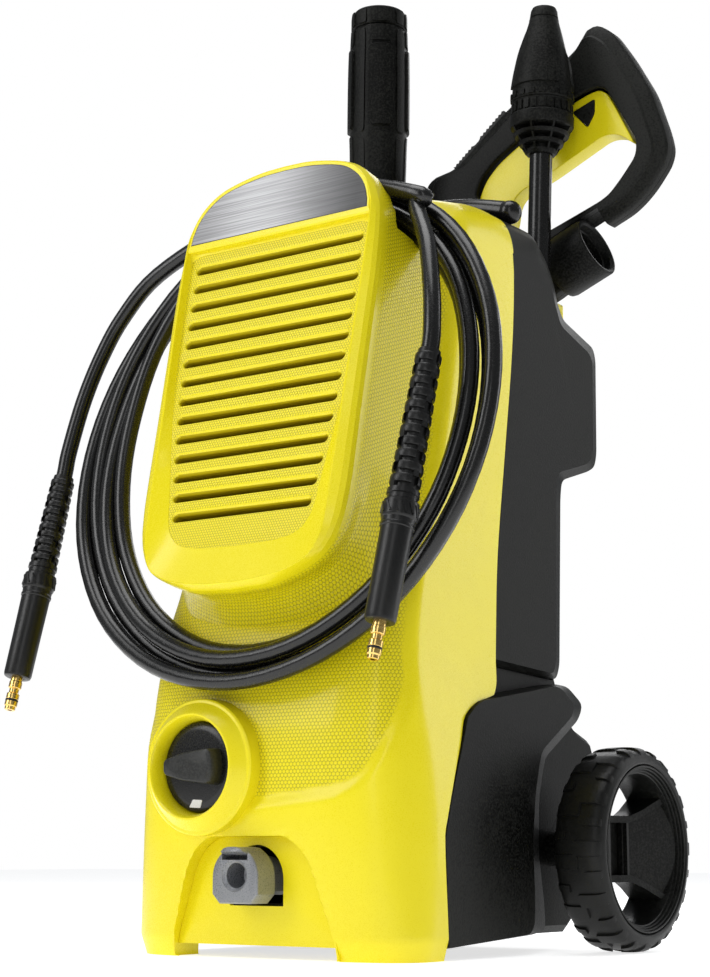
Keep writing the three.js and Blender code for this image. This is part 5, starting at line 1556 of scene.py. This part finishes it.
piece(gun_slice(150, GUN_Y - 0.25), "gun_case_front", BLACK, "gun_shell_front", sharp=24)
piece(gun_slice(GUN_Y + 0.25, 215), "gun_case_back", BLACK, "gun_shell_back", sharp=24)

lever = upright(rounded_outline(TRIGGER, 8, 4), GUN_Y - 9.5, GUN_Y + 9.5)
lever = softened(lever, 3.6, 4, 60)
lever = combined(lever, upright(rounded_outline(pulled_in(LOCK, -0.6), 3, 4), GUN_Y - 30, GUN_Y + 30))
piece(lever, "trigger_lever", YELLOW, "gun_trigger", sharp=30)
catch = softened(upright(rounded_outline(LOCK, 3, 4), GUN_Y - 10.5, GUN_Y + 10.5), 0.8, 3, 60)
piece(catch, "lock_button", BLACK, "gun_lock", sharp=30)

barrel = [lathe([
    (0, 32), (20, 32), (21, 31), (21, 9), (22.2, 8), (23.4, 2), (24.4, 0.8), (26, 0), (27.6, 0),
    (28.6, 0.8), (29, 2), (29, 40), (28, 43.5), (25, 45), (17.6, 45), (17, 46), (17, 59), (0, 59),
], 96, MOUTH, BARREL)]
for deep in (14, 21):
    profile = [(20.2, deep), (20.2, deep + 1.6), (21.4, deep + 1.6), (21.4, deep), (20.2, deep)]
    barrel.append(lathe(profile, 64, MOUTH, BARREL))
for y in (17, -17):
    key = MOUTH + BARREL * 16
    barrel.append(round_rod(3.4, key + Vector((0, y, 0)), key + Vector((0, y * 1.35, 0)), 20))
piece(merged(*barrel), "gun_barrel", BLACK, "gun_muzzle", sharp=28)

RIDGES = 34
foot, top = Vector((-30, 730.4)), Vector((27, 776.4))
back = (top - foot).normalized()
away = Vector((-back.y, back.x))
ridges = []
for i in range(RIDGES):
    rise = 0.3 if 14 <= i <= 16 else 0.9 if i % 2 else 2.4
    ridges.append((foot.lerp(top, i / (RIDGES - 1)) + away * rise)[:])
pad_form = upright([(foot - away * 2)[:], *ridges, (top - away * 2)[:]], GUN_Y - 9, GUN_Y + 9)
piece(pad_form, "thumb_pad", GRIP, "gun_grip_pad", sharp=20)

saddle = softened(block((50, 120, 519), (74, 197, 584)), 3, 3, 60)
saddle = combined(saddle, lathe([(0, -20), (29.8, -20), (29.8, 60), (0, 60)], 64, MOUTH, BARREL))
saddle = combined(saddle, upright(pulled_in(rounded_outline(GUN_OUTER, 10, 5), -1), GUN_Y - 16, 230))
piece(saddle, "gun_saddle", YELLOW, "gun_cradle", sharp=30)

# ---------------------------------------------------------------- handle

BAR_END = 104
BAR = [(-BAR_END, 629), (-70, 638.4), (-40, 643.6), (0, 646), (40, 643.6), (70, 638.4), (BAR_END, 629)]


def handle_bar():
    """A bar that is a little flatter in its middle, with a ball at each end and a collar on each leg."""
    spine = smooth_line([(x, HANDLE_Y, z) for x, z in BAR], 6)
    turns = [2 * math.pi * k / 40 for k in range(40)]
    rings = []
    for i, p in enumerate(spine):
        run = (spine[min(i + 1, len(spine) - 1)] - spine[max(i - 1, 0)]).normalized()
        up = Vector((0, 1, 0)).cross(run).normalized() * -1
        high = 9.5 - 1.5 * (1 - abs(p.x) / BAR_END)
        rings.append([p + Vector((0, 1, 0)) * (9.5 * math.cos(t)) + up * (high * math.sin(t)) for t in turns])
    parts = [lofted(rings)]
    collar = [(0, -24), (11.4, -24), (12.4, -23), (12.5, -4), (11, 2), (0, 2)]
    for side in (-1, 1):
        ball = bmesh.new()
        bmesh.ops.create_uvsphere(ball, u_segments=40, v_segments=24, radius=10.5)
        parts.append(moved(ball, Matrix.Translation((BAR_END * side, HANDLE_Y, 629))))
        parts.append(lathe(collar, 48, (GUIDE_X * side, HANDLE_Y, 635)))
    return joined(*parts)


piece(handle_bar(), "handle_bar", BLACK_SMOOTH, "handle_grip")

# ---------------------------------------------------------------- finer copies of the plain solids


def dressed(node):
    """A merged copy of a solid with its edges rounded, which stands for it."""
    bm = bmesh.new()
    bm.from_mesh(frame["nodes"][node].data)
    bmesh.ops.remove_doubles(bm, verts=bm.verts, dist=0.00002)
    bmesh.ops.dissolve_limit(bm, angle_limit=math.radians(1.5), verts=bm.verts, edges=bm.edges)
    bmesh.ops.scale(bm, vec=(1 / INTO_METRES,) * 3, verts=bm.verts)
    obj = rounded(piece(bm, f"{node}_piece", LOOKS[node], node), 0.5, 2, 28)
    obj.modifiers["edge_round"].harden_normals = True


for node in (
    "chassis", "gun_inlet", "handle_guide_left", "handle_guide_right", "outlet_surround", "water_inlet",
    "cable_gland", "pump_head", "motor_body", "switch_block",
):
    dressed(node)
